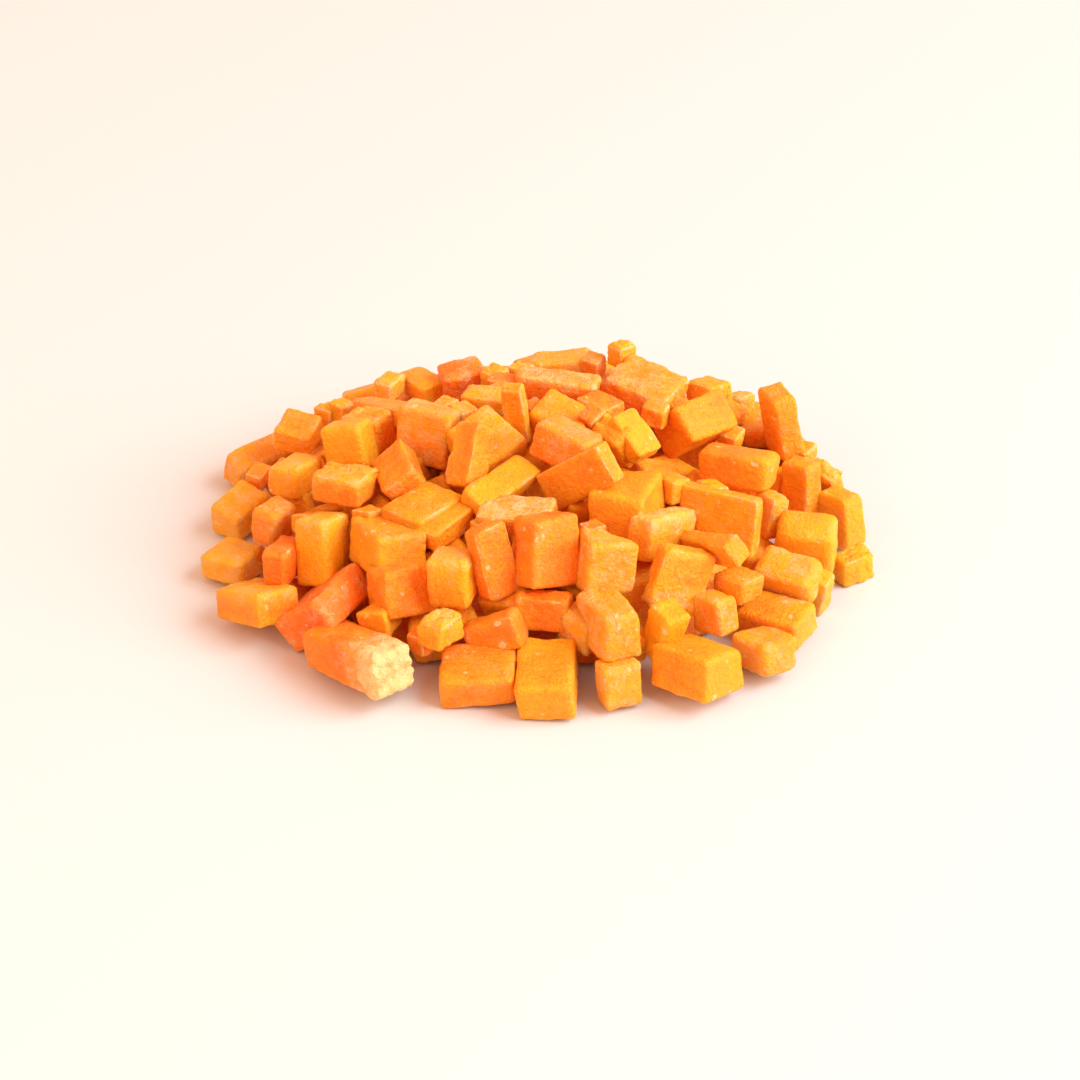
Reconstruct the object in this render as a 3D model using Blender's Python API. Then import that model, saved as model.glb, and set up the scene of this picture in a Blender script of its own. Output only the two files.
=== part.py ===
"""Diced butternut squash: a low heap of frozen dice, fused into one solid on a hidden core.

Units are metres, +Z is up and the origin is the middle of the heap's flat underside.
Every die that shows in the photograph is written down as the photograph shows it: the pixel of its
nearest corner and the pixels where the three edges that leave that corner end. Its turn and size
follow from those edges. It is then slid along the line of sight until it rests on what is beneath.
The far side, which the photograph does not show, is covered by a rule with seeded draws.
"""

import math
import random
from dataclasses import dataclass
from enum import Enum

import bmesh
import bpy
import numpy as np
from mathutils import Matrix

NODE = "diced_squash"

# Driving sizes, in metres.
HEAP_WIDTH = 0.186
LAYER_HEIGHT = 0.040  # over the surface, the middles of the dice that show
LAYER_HALF_WIDTH = 0.083
LAYER_HALF_DEPTH = 0.075
LAYER_CENTRE_Y = 0.007
LAYER_FALL = 0.60  # how steeply the heap falls at its rim: 0.5 is round
UNDER_DEPTH = 0.0105  # a second layer of dice shows in the gaps of the first
CORE_DEPTH = 0.0135
CORE_INSET = 0.0060
DIE_LEAST = 0.0055
DIE_MOST = 0.027
DIE_USUAL = (0.0165, 0.0145, 0.0135)
EDGE_CUT = 0.0011
ROUND_CUT = 0.0032
FULLNESS = 1.05  # square corners lie outside the worn ones that the photograph shows
SINK = 0.0012  # frozen dice hold to each other over this depth
PUSH_MOST = 0.007  # how far a half hidden die may sit behind its neighbours
HOVER_MOST = 0.012
HOLD = 0.0007  # the least that two dice run into each other where they hold
CARRIER_SIZE = 0.8
CARRIER_AIM = 0.6
CARRIER_SINK = 0.004
STAND_CLEAR = 0.00005  # the frozen dice at the rim do not all touch the surface
STAND_LEVELS = 5
CUT_LEAST = 0.0105  # smaller dice keep sharp edges
CORE_BUMP = 0.0012
WEDGE_TAPER = 0.1

# How the photograph sees the heap.
FRAME_MIDDLE = 540.0
HEAP_WIDTH_PIXELS = 678.0
ORIGIN_PIXEL = (536.0, 566.0)
EYE_DISTANCE = 0.95
EYE_ELEVATION = math.radians(33.0)
EYE_LEVEL = 0.018  # over the surface, where the scale of the picture is taken
PIXELS_PER_METRE = HEAP_WIDTH_PIXELS / HEAP_WIDTH
FOCAL_PIXELS = PIXELS_PER_METRE * EYE_DISTANCE
EYE_RIGHT = np.array((1.0, 0.0, 0.0))
EYE_UP = np.array((0.0, math.sin(EYE_ELEVATION), math.cos(EYE_ELEVATION)))
EYE_FORWARD = np.array((0.0, math.cos(EYE_ELEVATION), -math.sin(EYE_ELEVATION)))

# Least cosines, with the sign turned, between edges that leave the nearest corner of a box.
OPEN_TOP = 0.20
OPEN_SIDE = 0.14

# The dice between and behind the ones that the photograph shows.
SEED = 23
BACK_REACH = 1.03
ROW_SHARE = 0.87
JITTER = 0.0028
TILT = 26.0
LOWEST_DEPTH = 0.0225
RISE_STEPS = 10
SIGHT_GRID = (-0.85, -0.4, 0.0, 0.4, 0.85)  # where a side is looked at, from edge to edge

# Two sowings of them: the grid's spacing, the size of the dice, and how far two may share a place.
SOWINGS = ((0.0160, 1.0, 0.0032), (0.0110, 0.72, 0.0046))

# The dice that fill the steep far side: how many are tried, where, how large, and how far in.
FOOT_TRIES = 280
FOOT_REACH = (0.66, 1.0)
FOOT_SIZE = (0.75, 1.0)
FOOT_DEPTH = 0.016
FOOT_SHARE_MOST = 0.0058

MERGE = 0.000003
HEAP_MIDDLE = (0.00083, 0.00687)  # the middle of the heap's outline, from the photographed origin

SQUASH_ORANGE = (0.86, 0.30, 0.03, 1.0)


class Form(Enum):
    """How a piece was cut."""

    BLOCK = "square cut"
    WEDGE = "cut on the slant"
    ROUND = "from the outside of the neck"
    TORN = "broken at an end"


class Rest(Enum):
    """What carries a piece."""

    HEAP = "the dice beneath"
    FLOOR = "the surface"


@dataclass(frozen=True)
class Die:
    """One piece as the photograph shows it, in pixels of its 1080 x 1080 frame."""

    corner: tuple
    left: tuple
    right: tuple
    down: tuple
    form: Form = Form.BLOCK
    rest: Rest = Rest.HEAP


@dataclass
class Box:
    """A placed piece: its middle, its three unit axes as rows, and half its three lengths."""

    middle: np.ndarray
    axes: np.ndarray
    half: np.ndarray
    form: Form

    def corners(self, middle=None):
        """The eight corners about a middle."""
        signs = np.array([(x, y, z) for x in (-1, 1) for y in (-1, 1) for z in (-1, 1)])
        return (self.middle if middle is None else middle) + (signs * self.half) @ self.axes


B, W, R, T = Form.BLOCK, Form.WEDGE, Form.ROUND, Form.TORN
FLOOR = Rest.FLOOR

# From the back of the heap to the front, so that each piece rests on those before it.
BACK = [
    Die((329, 413), (321, 410), (338, 408), (329, 422), T),
    Die((343, 409), (336, 406), (352, 404), (343, 420), T),
    Die((390, 384), (373, 380), (404, 374), (390, 398), R),
    Die((584, 361), (533, 369), (590, 346), (585, 380), R),
    Die((596, 364), (588, 362), (602, 358), (598, 380)),
    Die((622, 352), (612, 347), (636, 345), (622, 366), T),
    Die((664, 401), (608, 376), (690, 377), (657, 425), T),
    Die((710, 387), (688, 380), (732, 381), (710, 402), R),
    Die((742, 398), (724, 395), (758, 391), (742, 410)),
    Die((494, 377), (482, 370), (505, 371), (494, 388), T),
    Die((524, 370), (517, 368), (530, 367), (524, 378), T),
    Die((447, 382), (437, 363), (484, 373), (449, 403)),
    Die((422, 388), (398, 372), (444, 380), (424, 404), R),
    Die((398, 410), (350, 396), (428, 404), (399, 424), W),
    Die((515, 384), (488, 380), (522, 374), (515, 394)),
    Die((594, 387), (521, 379), (600, 376), (592, 408)),
    Die((536, 412), (526, 406), (548, 404), (536, 426)),
    Die((604, 410), (578, 396), (624, 402), (604, 424)),
    Die((500, 392), (487, 388), (513, 384), (500, 402)),
    Die((503, 400), (464, 398), (508, 386), (503, 414)),
    Die((806, 455), (784, 448), (817, 444), (806, 468), R),
    Die((680, 412), (671, 407), (690, 404), (680, 422)),
    Die((592, 424), (583, 416), (603, 414), (592, 438)),
]
LEFT_SIDE = [
    Die((307, 441), (273, 432), (321, 415), (307, 458)),
    Die((368, 425), (340, 418), (392, 412), (374, 456), T),
    Die((262, 478), (250, 474), (272, 466), (262, 494)),
    Die((245, 473), (224, 455), (300, 446), (243, 496), R, FLOOR),
    Die((358, 428), (320, 433), (368, 418), (364, 468), R),
    Die((295, 472), (267, 466), (319, 456), (296, 500), R),
    Die((236, 523), (207, 508), (268, 494), (238, 546), B, FLOOR),
    Die((312, 516), (289, 514), (335, 510), (312, 528)),
    Die((274, 521), (253, 510), (295, 506), (271, 550), R),
    Die((356, 482), (311, 476), (373, 466), (357, 507), T),
    Die((301, 590), (291, 584), (313, 583), (302, 612), B, FLOOR),
    Die((238, 566), (197, 556), (263, 547), (239, 590), R, FLOOR),
    Die((284, 556), (262, 555), (300, 538), (283, 587), R),
    Die((256, 600), (211, 590), (296, 590), (258, 632), B, FLOOR),
]
MIDDLE = [
    Die((444, 408), (430, 404), (457, 398), (447, 422)),
    Die((462, 414), (452, 406), (472, 410), (461, 426)),
    Die((447, 416), (399, 407), (460, 409), (443, 466)),
    Die((521, 392), (501, 394), (524, 382), (526, 440)),
    Die((566, 432), (530, 414), (588, 406), (566, 446)),
    Die((570, 432), (546, 420), (586, 424), (570, 446)),
    Die((614, 446), (590, 432), (632, 428), (626, 470), T),
    Die((664, 412), (642, 408), (672, 402), (660, 428)),
    Die((484, 466), (446, 432), (523, 437), (486, 484)),
    Die((412, 469), (387, 494), (424, 485), (399, 438)),
    Die((368, 512), (350, 508), (386, 508), (368, 524)),
    Die((586, 448), (540, 429), (604, 436), (572, 474)),
    Die((466, 483), (445, 478), (484, 486), (481, 429), T),
    Die((418, 522), (381, 506), (462, 496), (420, 538)),
    Die((640, 456), (618, 417), (661, 443), (634, 463)),
    Die((486, 508), (464, 490), (538, 472), (484, 516)),
    Die((436, 534), (405, 522), (471, 508), (438, 552)),
    Die((488, 528), (470, 520), (510, 522), (488, 546)),
    Die((594, 447), (545, 484), (603, 441), (608, 482)),
    Die((547, 520), (480, 518), (555, 499), (547, 536)),
    Die((378, 538), (346, 518), (423, 536), (378, 577)),
    Die((322, 524), (291, 522), (346, 514), (325, 584)),
    Die((592, 530), (579, 524), (606, 525), (592, 542)),
    Die((535, 524), (514, 518), (578, 518), (538, 586)),
    Die((592, 545), (578, 530), (636, 545), (590, 594), W),
]
RIGHT_SIDE = [
    Die((771, 431), (743, 429), (766, 400), (771, 447)),
    Die((772, 404), (760, 388), (796, 399), (790, 456), R),
    Die((735, 420), (720, 402), (745, 410), (733, 429)),
    Die((734, 440), (722, 434), (744, 430), (734, 452)),
    Die((695, 441), (673, 459), (738, 420), (679, 408)),
    Die((806, 470), (782, 462), (822, 462), (808, 519)),
    Die((832, 482), (808, 470), (843, 470), (832, 500), T),
    Die((672, 484), (648, 470), (690, 480), (670, 505)),
    Die((712, 488), (697, 480), (725, 487), (712, 498)),
    Die((764, 460), (704, 452), (778, 452), (762, 491), R),
    Die((640, 499), (590, 497), (664, 474), (640, 540)),
    Die((842, 506), (817, 494), (863, 497), (848, 552), R),
    Die((774, 502), (757, 490), (790, 500), (768, 540)),
    Die((756, 502), (684, 488), (764, 497), (750, 556)),
    Die((846, 566), (834, 556), (876, 554), (846, 590), T, FLOOR),
    Die((832, 540), (778, 536), (838, 516), (829, 580), R),
    Die((826, 590), (816, 584), (834, 578), (823, 619), B, FLOOR),
    Die((655, 522), (631, 516), (699, 512), (650, 561)),
    Die((742, 584), (715, 574), (766, 574), (742, 606)),
    Die((722, 549), (672, 538), (738, 534), (738, 569), W),
    Die((792, 628), (738, 616), (816, 604), (796, 657), B, FLOOR),
    Die((806, 586), (755, 572), (822, 560), (810, 605), R),
    Die((668, 552), (659, 545), (714, 562), (655, 604), T),
    Die((718, 606), (694, 597), (738, 598), (720, 638), R),
]
FRONT = [
    Die((386, 575), (362, 566), (431, 567), (392, 620)),
    Die((384, 616), (355, 614), (408, 600), (389, 642), W),
    Die((466, 566), (428, 564), (474, 550), (468, 608), R),
    Die((475, 539), (468, 536), (504, 524), (491, 601)),
    Die((422, 640), (408, 634), (436, 632), (422, 656)),
    Die((508, 618), (460, 631), (518, 606), (520, 646)),
    Die((564, 603), (516, 603), (571, 593), (563, 632), T),
    Die((441, 630), (418, 622), (463, 616), (441, 652), T),
    Die((312, 604), (272, 629), (352, 565), (333, 632)),
    Die((764, 650), (735, 638), (798, 640), (766, 682), R, FLOOR),
    Die((372, 660), (293, 633), (409, 646), (374, 699), T, FLOOR),
    Die((510, 682), (438, 681), (507, 644), (512, 708), B, FLOOR),
    Die((570, 692), (516, 692), (569, 641), (572, 721), B, FLOOR),
    Die((604, 674), (594, 664), (641, 665), (608, 716), B, FLOOR),
    Die((707, 665), (655, 650), (745, 652), (706, 706), B, FLOOR),
    Die((586, 628), (557, 615), (606, 612), (588, 656), T),
    Die((604, 619), (579, 598), (640, 611), (606, 663), T),
    Die((668, 624), (652, 605), (691, 618), (655, 664), T),
]

# Pixels close outside the heap's outline, where the surface shows and no die may stand.
BARE_SPOTS = [
    (195, 610), (205, 636), (240, 648), (263, 664), (283, 690), (330, 708), (365, 714), (426, 712),
    (428, 690), (442, 722), (480, 722), (545, 733), (583, 727), (584, 705), (620, 728), (652, 716),
    (690, 716), (735, 702), (755, 692), (790, 686), (802, 668), (820, 650), (832, 622), (845, 604),
    (880, 596), (884, 572), (874, 540), (872, 505), (868, 482), (850, 462), (832, 450), (822, 440),
    (812, 412), (812, 390), (790, 376), (765, 374), (736, 364), (705, 362), (694, 350), (660, 338),
    (600, 334), (560, 340), (525, 355), (505, 360), (480, 352), (440, 352), (395, 360), (366, 374),
    (338, 388), (318, 400), (285, 402), (262, 422), (240, 436), (218, 446), (214, 478), (200, 508),
    (196, 535), (188, 560),
]


def sight(pixel):
    """Unit vector from the eye through a pixel."""
    across = pixel[0] - FRAME_MIDDLE
    upward = FRAME_MIDDLE - pixel[1]
    line = EYE_RIGHT * across + EYE_UP * upward + EYE_FORWARD * FOCAL_PIXELS
    return line / np.linalg.norm(line)


EYE = -EYE_DISTANCE * sight(ORIGIN_PIXEL)


def pixel_of(point):
    """The pixel at which the eye sees a point."""
    line = point - EYE
    depth = line @ EYE_FORWARD
    return np.array((
        FRAME_MIDDLE + FOCAL_PIXELS * (line @ EYE_RIGHT) / depth,
        FRAME_MIDDLE - FOCAL_PIXELS * (line @ EYE_UP) / depth,
    ))


def layer_height(x, y, depth=0.0, inset=None):
    """Height of a layer of dice over a place on the surface, or of one that lies deeper."""
    inset = depth * 0.6 if inset is None else inset
    half_width = LAYER_HALF_WIDTH - inset
    half_depth = LAYER_HALF_DEPTH - inset
    share = (x / half_width) ** 2 + ((y - LAYER_CENTRE_Y) / half_depth) ** 2
    return (LAYER_HEIGHT - depth) * np.clip(1.0 - share, 0.0, 1.0) ** LAYER_FALL


def seen_edges(die):
    """The three edges of a die on the picture plane, in metres right and up."""
    corner = np.array(die.corner, float)
    ends = np.array((die.left, die.right, die.down), float)
    return (ends - corner) * (1.0, -1.0) / PIXELS_PER_METRE


def leaning_axes(die):
    """Axes and lengths of a die from the angles between its edges as they are seen.

    Edges that are square to each other lean away from the eye by slopes whose products are the
    cosines between them, with the sign turned.
    """
    flat = seen_edges(die)
    length = np.linalg.norm(flat, axis=1)
    unit = flat / length[:, None]
    top = min(unit[0] @ unit[1], -OPEN_TOP)
    right_side = min(unit[1] @ unit[2], -OPEN_SIDE)
    left_side = min(unit[0] @ unit[2], -OPEN_SIDE)
    slope = np.sqrt((
        -top * left_side / right_side,
        -top * right_side / left_side,
        -left_side * right_side / top,
    ))
    lines = (
        unit[:, :1] * EYE_RIGHT + unit[:, 1:] * EYE_UP + slope[:, None] * EYE_FORWARD
    )
    reach = np.linalg.norm(lines, axis=1)
    turn, _, back = np.linalg.svd(lines / reach[:, None])
    return turn @ back, length * reach


def blocked_spans(box, start, line, placed):
    """For each placed box, the stretch of a line along which the moving box would cut into it."""
    spans = []
    for other in placed:
        tests = np.vstack((
            box.axes,
            other.axes,
            np.cross(box.axes[:, None, :], other.axes[None, :, :]).reshape(-1, 3),
        ))
        size = np.linalg.norm(tests, axis=1)
        tests = tests[size > 1e-4] / size[size > 1e-4][:, None]
        reach = np.abs(tests @ box.axes.T) @ box.half + np.abs(tests @ other.axes.T) @ other.half
        reach = np.maximum(reach - SINK, 0.0)
        offset = tests @ (start - other.middle)
        speed = tests @ line
        speed = np.where(np.abs(speed) < 1e-9, 1e-9, speed)
        ends = np.sort(np.array(((-reach - offset) / speed, (reach - offset) / speed)), axis=0)
        first, last = ends[0].max(), ends[1].min()
        if first < last:
            spans.append((first, last))
    return spans


def settle(box, start, line, placed, rest):
    """Moves a box along a line to the layer it belongs to, then on until it is clear of others."""
    travels = np.arange(0.0, 0.34, 0.0004)
    middles = start + travels[:, None] * line
    low = (np.abs(box.axes[:, 2]) * box.half).sum()
    clear = middles[:, 2] - low
    if rest is Rest.HEAP:
        over = middles[:, 2] - layer_height(middles[:, 0], middles[:, 1])
        clear = np.minimum(clear, over)
    here = int(np.argmax(clear <= 0.0))
    if rest is Rest.HEAP:
        rising = np.flatnonzero((over[1:] > over[:-1]) & (over[:-1] < HOVER_MOST))
        if len(rising) and rising[0] < here:
            here = int(rising[0])
    travel = travels[here]
    if rest is Rest.HEAP:
        furthest = min(travel + PUSH_MOST, travels[int(np.argmax(middles[:, 2] <= low))])
        spans = blocked_spans(box, start, line, placed)
        moved = True
        while moved:
            moved = False
            for first, last in spans:
                if first < travel < last and travel < furthest:
                    travel = min(last, furthest)
                    moved = True
    box.middle = start + line * travel
    box.middle = box.middle + np.array((0.0, 0.0, max(low - box.middle[2], 0.0)))


def place_seen(die, placed):
    """Stands a die of the photograph in the heap."""
    axes, lengths = leaning_axes(die)
    line = sight(die.corner)
    depth = (EYE_LEVEL - EYE[2]) / line[2] * (line @ EYE_FORWARD)
    half = np.clip(lengths * depth / EYE_DISTANCE, DIE_LEAST, DIE_MOST) / 2
    box = Box(np.zeros(3), axes, half, die.form)
    start = EYE + line * (EYE_DISTANCE - 0.16) + half @ axes
    settle(box, start, line, placed, die.rest)
    box.half = box.half * FULLNESS
    return box


def stands_before(box, points):
    """For each point, whether a box stands between it and the eye."""
    start = box.axes @ (EYE - box.middle)
    way = (points - EYE) @ box.axes.T
    way = np.where(np.abs(way) < 1e-9, 1e-9, way)
    reach = np.sort(np.array(((-box.half - start) / way, (box.half - start) / way)), axis=0)
    enter, leave = reach[0].max(axis=1), reach[1].min(axis=1)
    return (enter < leave) & (enter < 0.999)


def hidden(box, seen):
    """Whether the eye cannot see a box for the boxes before it."""
    ends = box.corners()
    points = np.vstack((ends, (ends[:, None] + ends[None, :]).reshape(-1, 3) / 2))
    blocked = np.zeros(len(points), bool)
    for other in seen:
        blocked |= stands_before(other, points)
    return bool(blocked.all())


def shown_points(seen):
    """Points that must stay in sight: on the dice of the photograph, and on the bare surface."""
    lines = np.array([sight(spot) for spot in BARE_SPOTS])
    shown = [EYE - lines * (EYE[2] / lines[:, 2:])]
    for box in seen:
        spots = []
        for axis in range(3):
            for first in SIGHT_GRID:
                for second in SIGHT_GRID:
                    spot = [first, second]
                    spot.insert(axis, -1.0)
                    spots.append(spot)
        points = box.middle + (np.array(spots) * box.half) @ box.axes
        blocked = np.zeros(len(points), bool)
        for other in seen:
            if other is not box:
                blocked |= stands_before(other, points)
        shown.append(points[~blocked])
    return np.vstack(shown)


def crowded(box, others, share_most):
    """Whether a box runs too far into another."""
    near = [o for o in others if np.linalg.norm(o.middle - box.middle) < DIE_MOST * 1.4]
    return any(depth_between(box, other) > share_most for other in near)


def drawn_box(draw, x, y, size, lean, form):
    """A die of about the usual size over a place, its turn drawn at random and leaning outward."""
    half = [side * size * draw.uniform(0.8, 1.15) / 2 for side in DIE_USUAL]
    draw.shuffle(half)
    bearing = math.atan2(y - LAYER_CENTRE_Y, x)
    tilt = math.radians(draw.uniform(0.3, 1.0) * lean)
    turn = (
        Matrix.Rotation(tilt, 3, (-math.sin(bearing), math.cos(bearing), 0.0))
        @ Matrix.Rotation(draw.uniform(0.0, math.pi), 3, "Z")
        @ Matrix.Rotation(math.radians(draw.uniform(-lean, lean)), 3, "X")
    )
    return Box(np.array((x, y, 0.1)), np.array(turn.transposed()), np.array(half), form)


def best_height(box, share_most, seen, unseen, shown):
    """The greatest height at which a box covers no shown point and has room, or None."""
    x, y = box.middle[:2]
    low = (np.abs(box.axes[:, 2]) * box.half).sum()
    best = None
    for depth in np.linspace(LOWEST_DEPTH, 0.0, RISE_STEPS):
        box.middle[2] = max(layer_height(x, y, depth), low)
        if stands_before(box, shown).any():
            continue
        out_of_sight = depth >= UNDER_DEPTH or hidden(box, seen)
        if out_of_sight and not crowded(box, seen + unseen, share_most):
            best = box.middle[2]
    return best


def place_unseen(seen):
    """Dice on even grids, each raised to the top layer as far as it stays out of sight.

    The small dice of the second sowing stand only where they show in a gap.
    """
    draw = random.Random(SEED)
    shown = shown_points(seen)
    unseen = []
    for spacing, size, share_most in SOWINGS:
        rows = int(LAYER_HALF_DEPTH / spacing) + 2
        columns = int(LAYER_HALF_WIDTH / spacing) + 2
        for row in range(-rows, rows + 1):
            for column in range(-columns, columns + 1):
                x = (column + 0.5 * (row % 2)) * spacing + draw.uniform(-JITTER, JITTER)
                y = LAYER_CENTRE_Y + row * spacing * ROW_SHARE + draw.uniform(-JITTER, JITTER)
                share = math.hypot(x / LAYER_HALF_WIDTH, (y - LAYER_CENTRE_Y) / LAYER_HALF_DEPTH)
                box = drawn_box(draw, x, y, size, TILT * (share < 0.95), draw.choice((B, B, R, W)))
                if share > BACK_REACH:
                    continue
                best = best_height(box, share_most, seen, unseen, shown)
                if best is None:
                    continue
                box.middle[2] = best
                if size == 1.0 or not hidden(box, seen + unseen):
                    unseen.append(box)
    return unseen


def depth_between(box, other):
    """How far two boxes run into each other, or how far they are apart where it is negative."""
    tests = np.vstack((
        box.axes,
        other.axes,
        np.cross(box.axes[:, None, :], other.axes[None, :, :]).reshape(-1, 3),
    ))
    size = np.linalg.norm(tests, axis=1)
    tests = tests[size > 1e-4] / size[size > 1e-4][:, None]
    reach = np.abs(tests @ box.axes.T) @ box.half + np.abs(tests @ other.axes.T) @ other.half
    return (reach - np.abs(tests @ (box.middle - other.middle))).min()


def edge_cut(box):
    """How much is cut off the edges of a die."""
    cut = ROUND_CUT if box.form is Form.ROUND else EDGE_CUT
    return min(cut, box.half.min() * 0.6)


def holds(box, other):
    """Whether two dice still run into each other once their edges are cut."""
    return depth_between(box, other) > HOLD + (edge_cut(box) + edge_cut(other)) * 0.5


def holds_core(box):
    """Whether a box runs into the core."""
    points = np.vstack((box.middle, box.middle + (box.corners() - box.middle) * 0.8))
    floor = layer_height(points[:, 0], points[:, 1], CORE_DEPTH, CORE_INSET)
    return (points[:, 2] < floor - CORE_BUMP - HOLD).any()


def carrier(box):
    """A bar of squash that carries a die from inside the heap, out of sight behind it."""
    aim = np.array((box.middle[0], box.middle[1] - LAYER_CENTRE_Y, 0.0)) * CARRIER_AIM
    inward = aim + (0.0, LAYER_CENTRE_Y, 0.0) - box.middle
    inward /= np.linalg.norm(inward)
    ways = box.middle + np.arange(0.0, 0.05, 0.0005)[:, None] * inward
    within = layer_height(ways[:, 0], ways[:, 1], CORE_DEPTH, CORE_INSET) - ways[:, 2]
    end = ways[int(np.argmax(within > CARRIER_SINK))]
    side = np.cross(inward, (0.0, 0.0, 1.0))
    side /= np.linalg.norm(side)
    thick = max(box.half.min() * CARRIER_SIZE, DIE_LEAST / 2)
    half = np.array((np.linalg.norm(end - box.middle) / 2, thick, thick))
    axes = np.array((inward, side, np.cross(inward, side)))
    middle = (box.middle + end) / 2
    middle[2] = max(middle[2], (np.abs(axes[:, 2]) * half).sum())
    return Box(middle, axes, half, Form.BLOCK)


def place_foot(seen, unseen):
    """Dice that fill the steep far side down to the surface, where there is room."""
    draw = random.Random(SEED)
    shown = shown_points(seen)
    foot = []
    for _ in range(FOOT_TRIES):
        bearing = draw.uniform(0.0, math.pi)
        reach = draw.uniform(*FOOT_REACH)
        x = LAYER_HALF_WIDTH * reach * math.cos(bearing)
        y = LAYER_CENTRE_Y + LAYER_HALF_DEPTH * reach * math.sin(bearing)
        box = drawn_box(draw, x, y, draw.uniform(*FOOT_SIZE), TILT, draw.choice((B, B, R, W)))
        best = best_height(box, FOOT_SHARE_MOST, seen, unseen + foot, shown)
        if best is not None and best > layer_height(x, y, FOOT_DEPTH):
            box.middle[2] = best
            foot.append(box)
    return foot


def gather(boxes):
    """A carrier for each die that would otherwise touch nothing."""
    held = [box for box in boxes if holds_core(box)]
    free = [box for box in boxes if not holds_core(box)]
    grown = True
    while grown:
        grown = [b for b in free if any(holds(b, other) for other in held)]
        held += grown
        free = [b for b in free if all(b is not other for other in grown)]
    carriers = []
    for box in sorted(free, key=lambda b: np.linalg.norm(b.middle)):
        if not any(holds(box, other) for other in held):
            carriers.append(carrier(box))
            held.append(carriers[-1])
        held.append(box)
    return carriers


def place_all():
    """Every box of the heap: those of the photograph, then those between and behind them."""
    seen = []
    for die in reversed(BACK + LEFT_SIDE + RIGHT_SIDE + MIDDLE + FRONT):
        seen.append(place_seen(die, seen))
    unseen = place_unseen(seen)
    unseen += place_foot(seen, unseen)
    unseen += gather(seen + unseen)
    for number, box in enumerate(seen + unseen):
        low = (np.abs(box.axes[:, 2]) * box.half).sum()
        lift = STAND_CLEAR * (1.0 + number % STAND_LEVELS)
        box.middle[2] += max(low + lift - box.middle[2], 0.0)
    return seen, unseen


def link(mesh, name, collection):
    """A new object with a mesh, in a collection."""
    made = bpy.data.objects.new(name, mesh)
    collection.objects.link(made)
    return made


def make_die(box, number, collection, cut_edges):
    """A box, tapered where it was cut on the slant, with its edges cut if it shows well."""
    shape = bmesh.new()
    bmesh.ops.create_cube(shape, size=2.0)
    for vertex in shape.verts:
        if box.form is Form.WEDGE and vertex.co.x > 0 and vertex.co.y > 0:
            vertex.co.y = WEDGE_TAPER
    for vertex in shape.verts:
        vertex.co = (np.array(vertex.co) * box.half) @ box.axes + box.middle
    bmesh.ops.recalc_face_normals(shape, faces=shape.faces)
    if cut_edges:
        bmesh.ops.bevel(
            shape, geom=shape.edges[:], offset=edge_cut(box), segments=1, affect="EDGES", profile=0.5
        )
        bmesh.ops.recalc_face_normals(shape, faces=shape.faces)
    mesh = bpy.data.meshes.new(f"die_{number:03d}")
    shape.to_mesh(mesh)
    shape.free()
    return link(mesh, mesh.name, collection)


def make_core(collection):
    """The hidden core: a flat-bottomed mound."""
    draw = random.Random(SEED)
    shape = bmesh.new()
    bmesh.ops.create_uvsphere(shape, u_segments=28, v_segments=16, radius=1.0)
    cut = bmesh.ops.bisect_plane(
        shape,
        geom=shape.verts[:] + shape.edges[:] + shape.faces[:],
        plane_co=(0.0, 0.0, 0.02),
        plane_no=(0.0, 0.0, -1.0),
        clear_outer=True,
    )
    rim = [e for e in cut["geom_cut"] if isinstance(e, bmesh.types.BMEdge)]
    bmesh.ops.contextual_create(shape, geom=rim)
    for vertex in shape.verts:
        x = vertex.co.x * (LAYER_HALF_WIDTH - CORE_INSET)
        y = vertex.co.y * (LAYER_HALF_DEPTH - CORE_INSET) + LAYER_CENTRE_Y
        lift = layer_height(x, y, CORE_DEPTH, CORE_INSET) + draw.uniform(-CORE_BUMP, CORE_BUMP)
        vertex.co = (x, y, max(lift, 0.001) if vertex.co.z > 0.03 else 0.0)
    bmesh.ops.recalc_face_normals(shape, faces=shape.faces)
    mesh = bpy.data.meshes.new(NODE)
    shape.to_mesh(mesh)
    shape.free()
    return link(mesh, NODE, collection)


def keep_largest(shape):
    """Fills sealed hollows and drops loose scraps: only the largest shell of the mesh stays."""
    waiting = set(shape.verts)
    shells = []
    while waiting:
        grown = [waiting.pop()]
        shell = set(grown)
        while grown:
            vertex = grown.pop()
            for edge in vertex.link_edges:
                other = edge.other_vert(vertex)
                if other not in shell:
                    shell.add(other)
                    grown.append(other)
        waiting -= shell
        shells.append(shell)
    shells.sort(key=len)
    for shell in shells[:-1]:
        bmesh.ops.delete(shape, geom=list(shell), context="VERTS")


def squash_material():
    """The heap's one colour."""
    made = bpy.data.materials.new("squash flesh")
    made.use_nodes = True
    shader = made.node_tree.nodes["Principled BSDF"]
    shader.inputs["Base Color"].default_value = SQUASH_ORANGE
    shader.inputs["Roughness"].default_value = 0.5
    shader.inputs["Metallic"].default_value = 0.0
    made.diffuse_color = SQUASH_ORANGE
    return made


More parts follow.
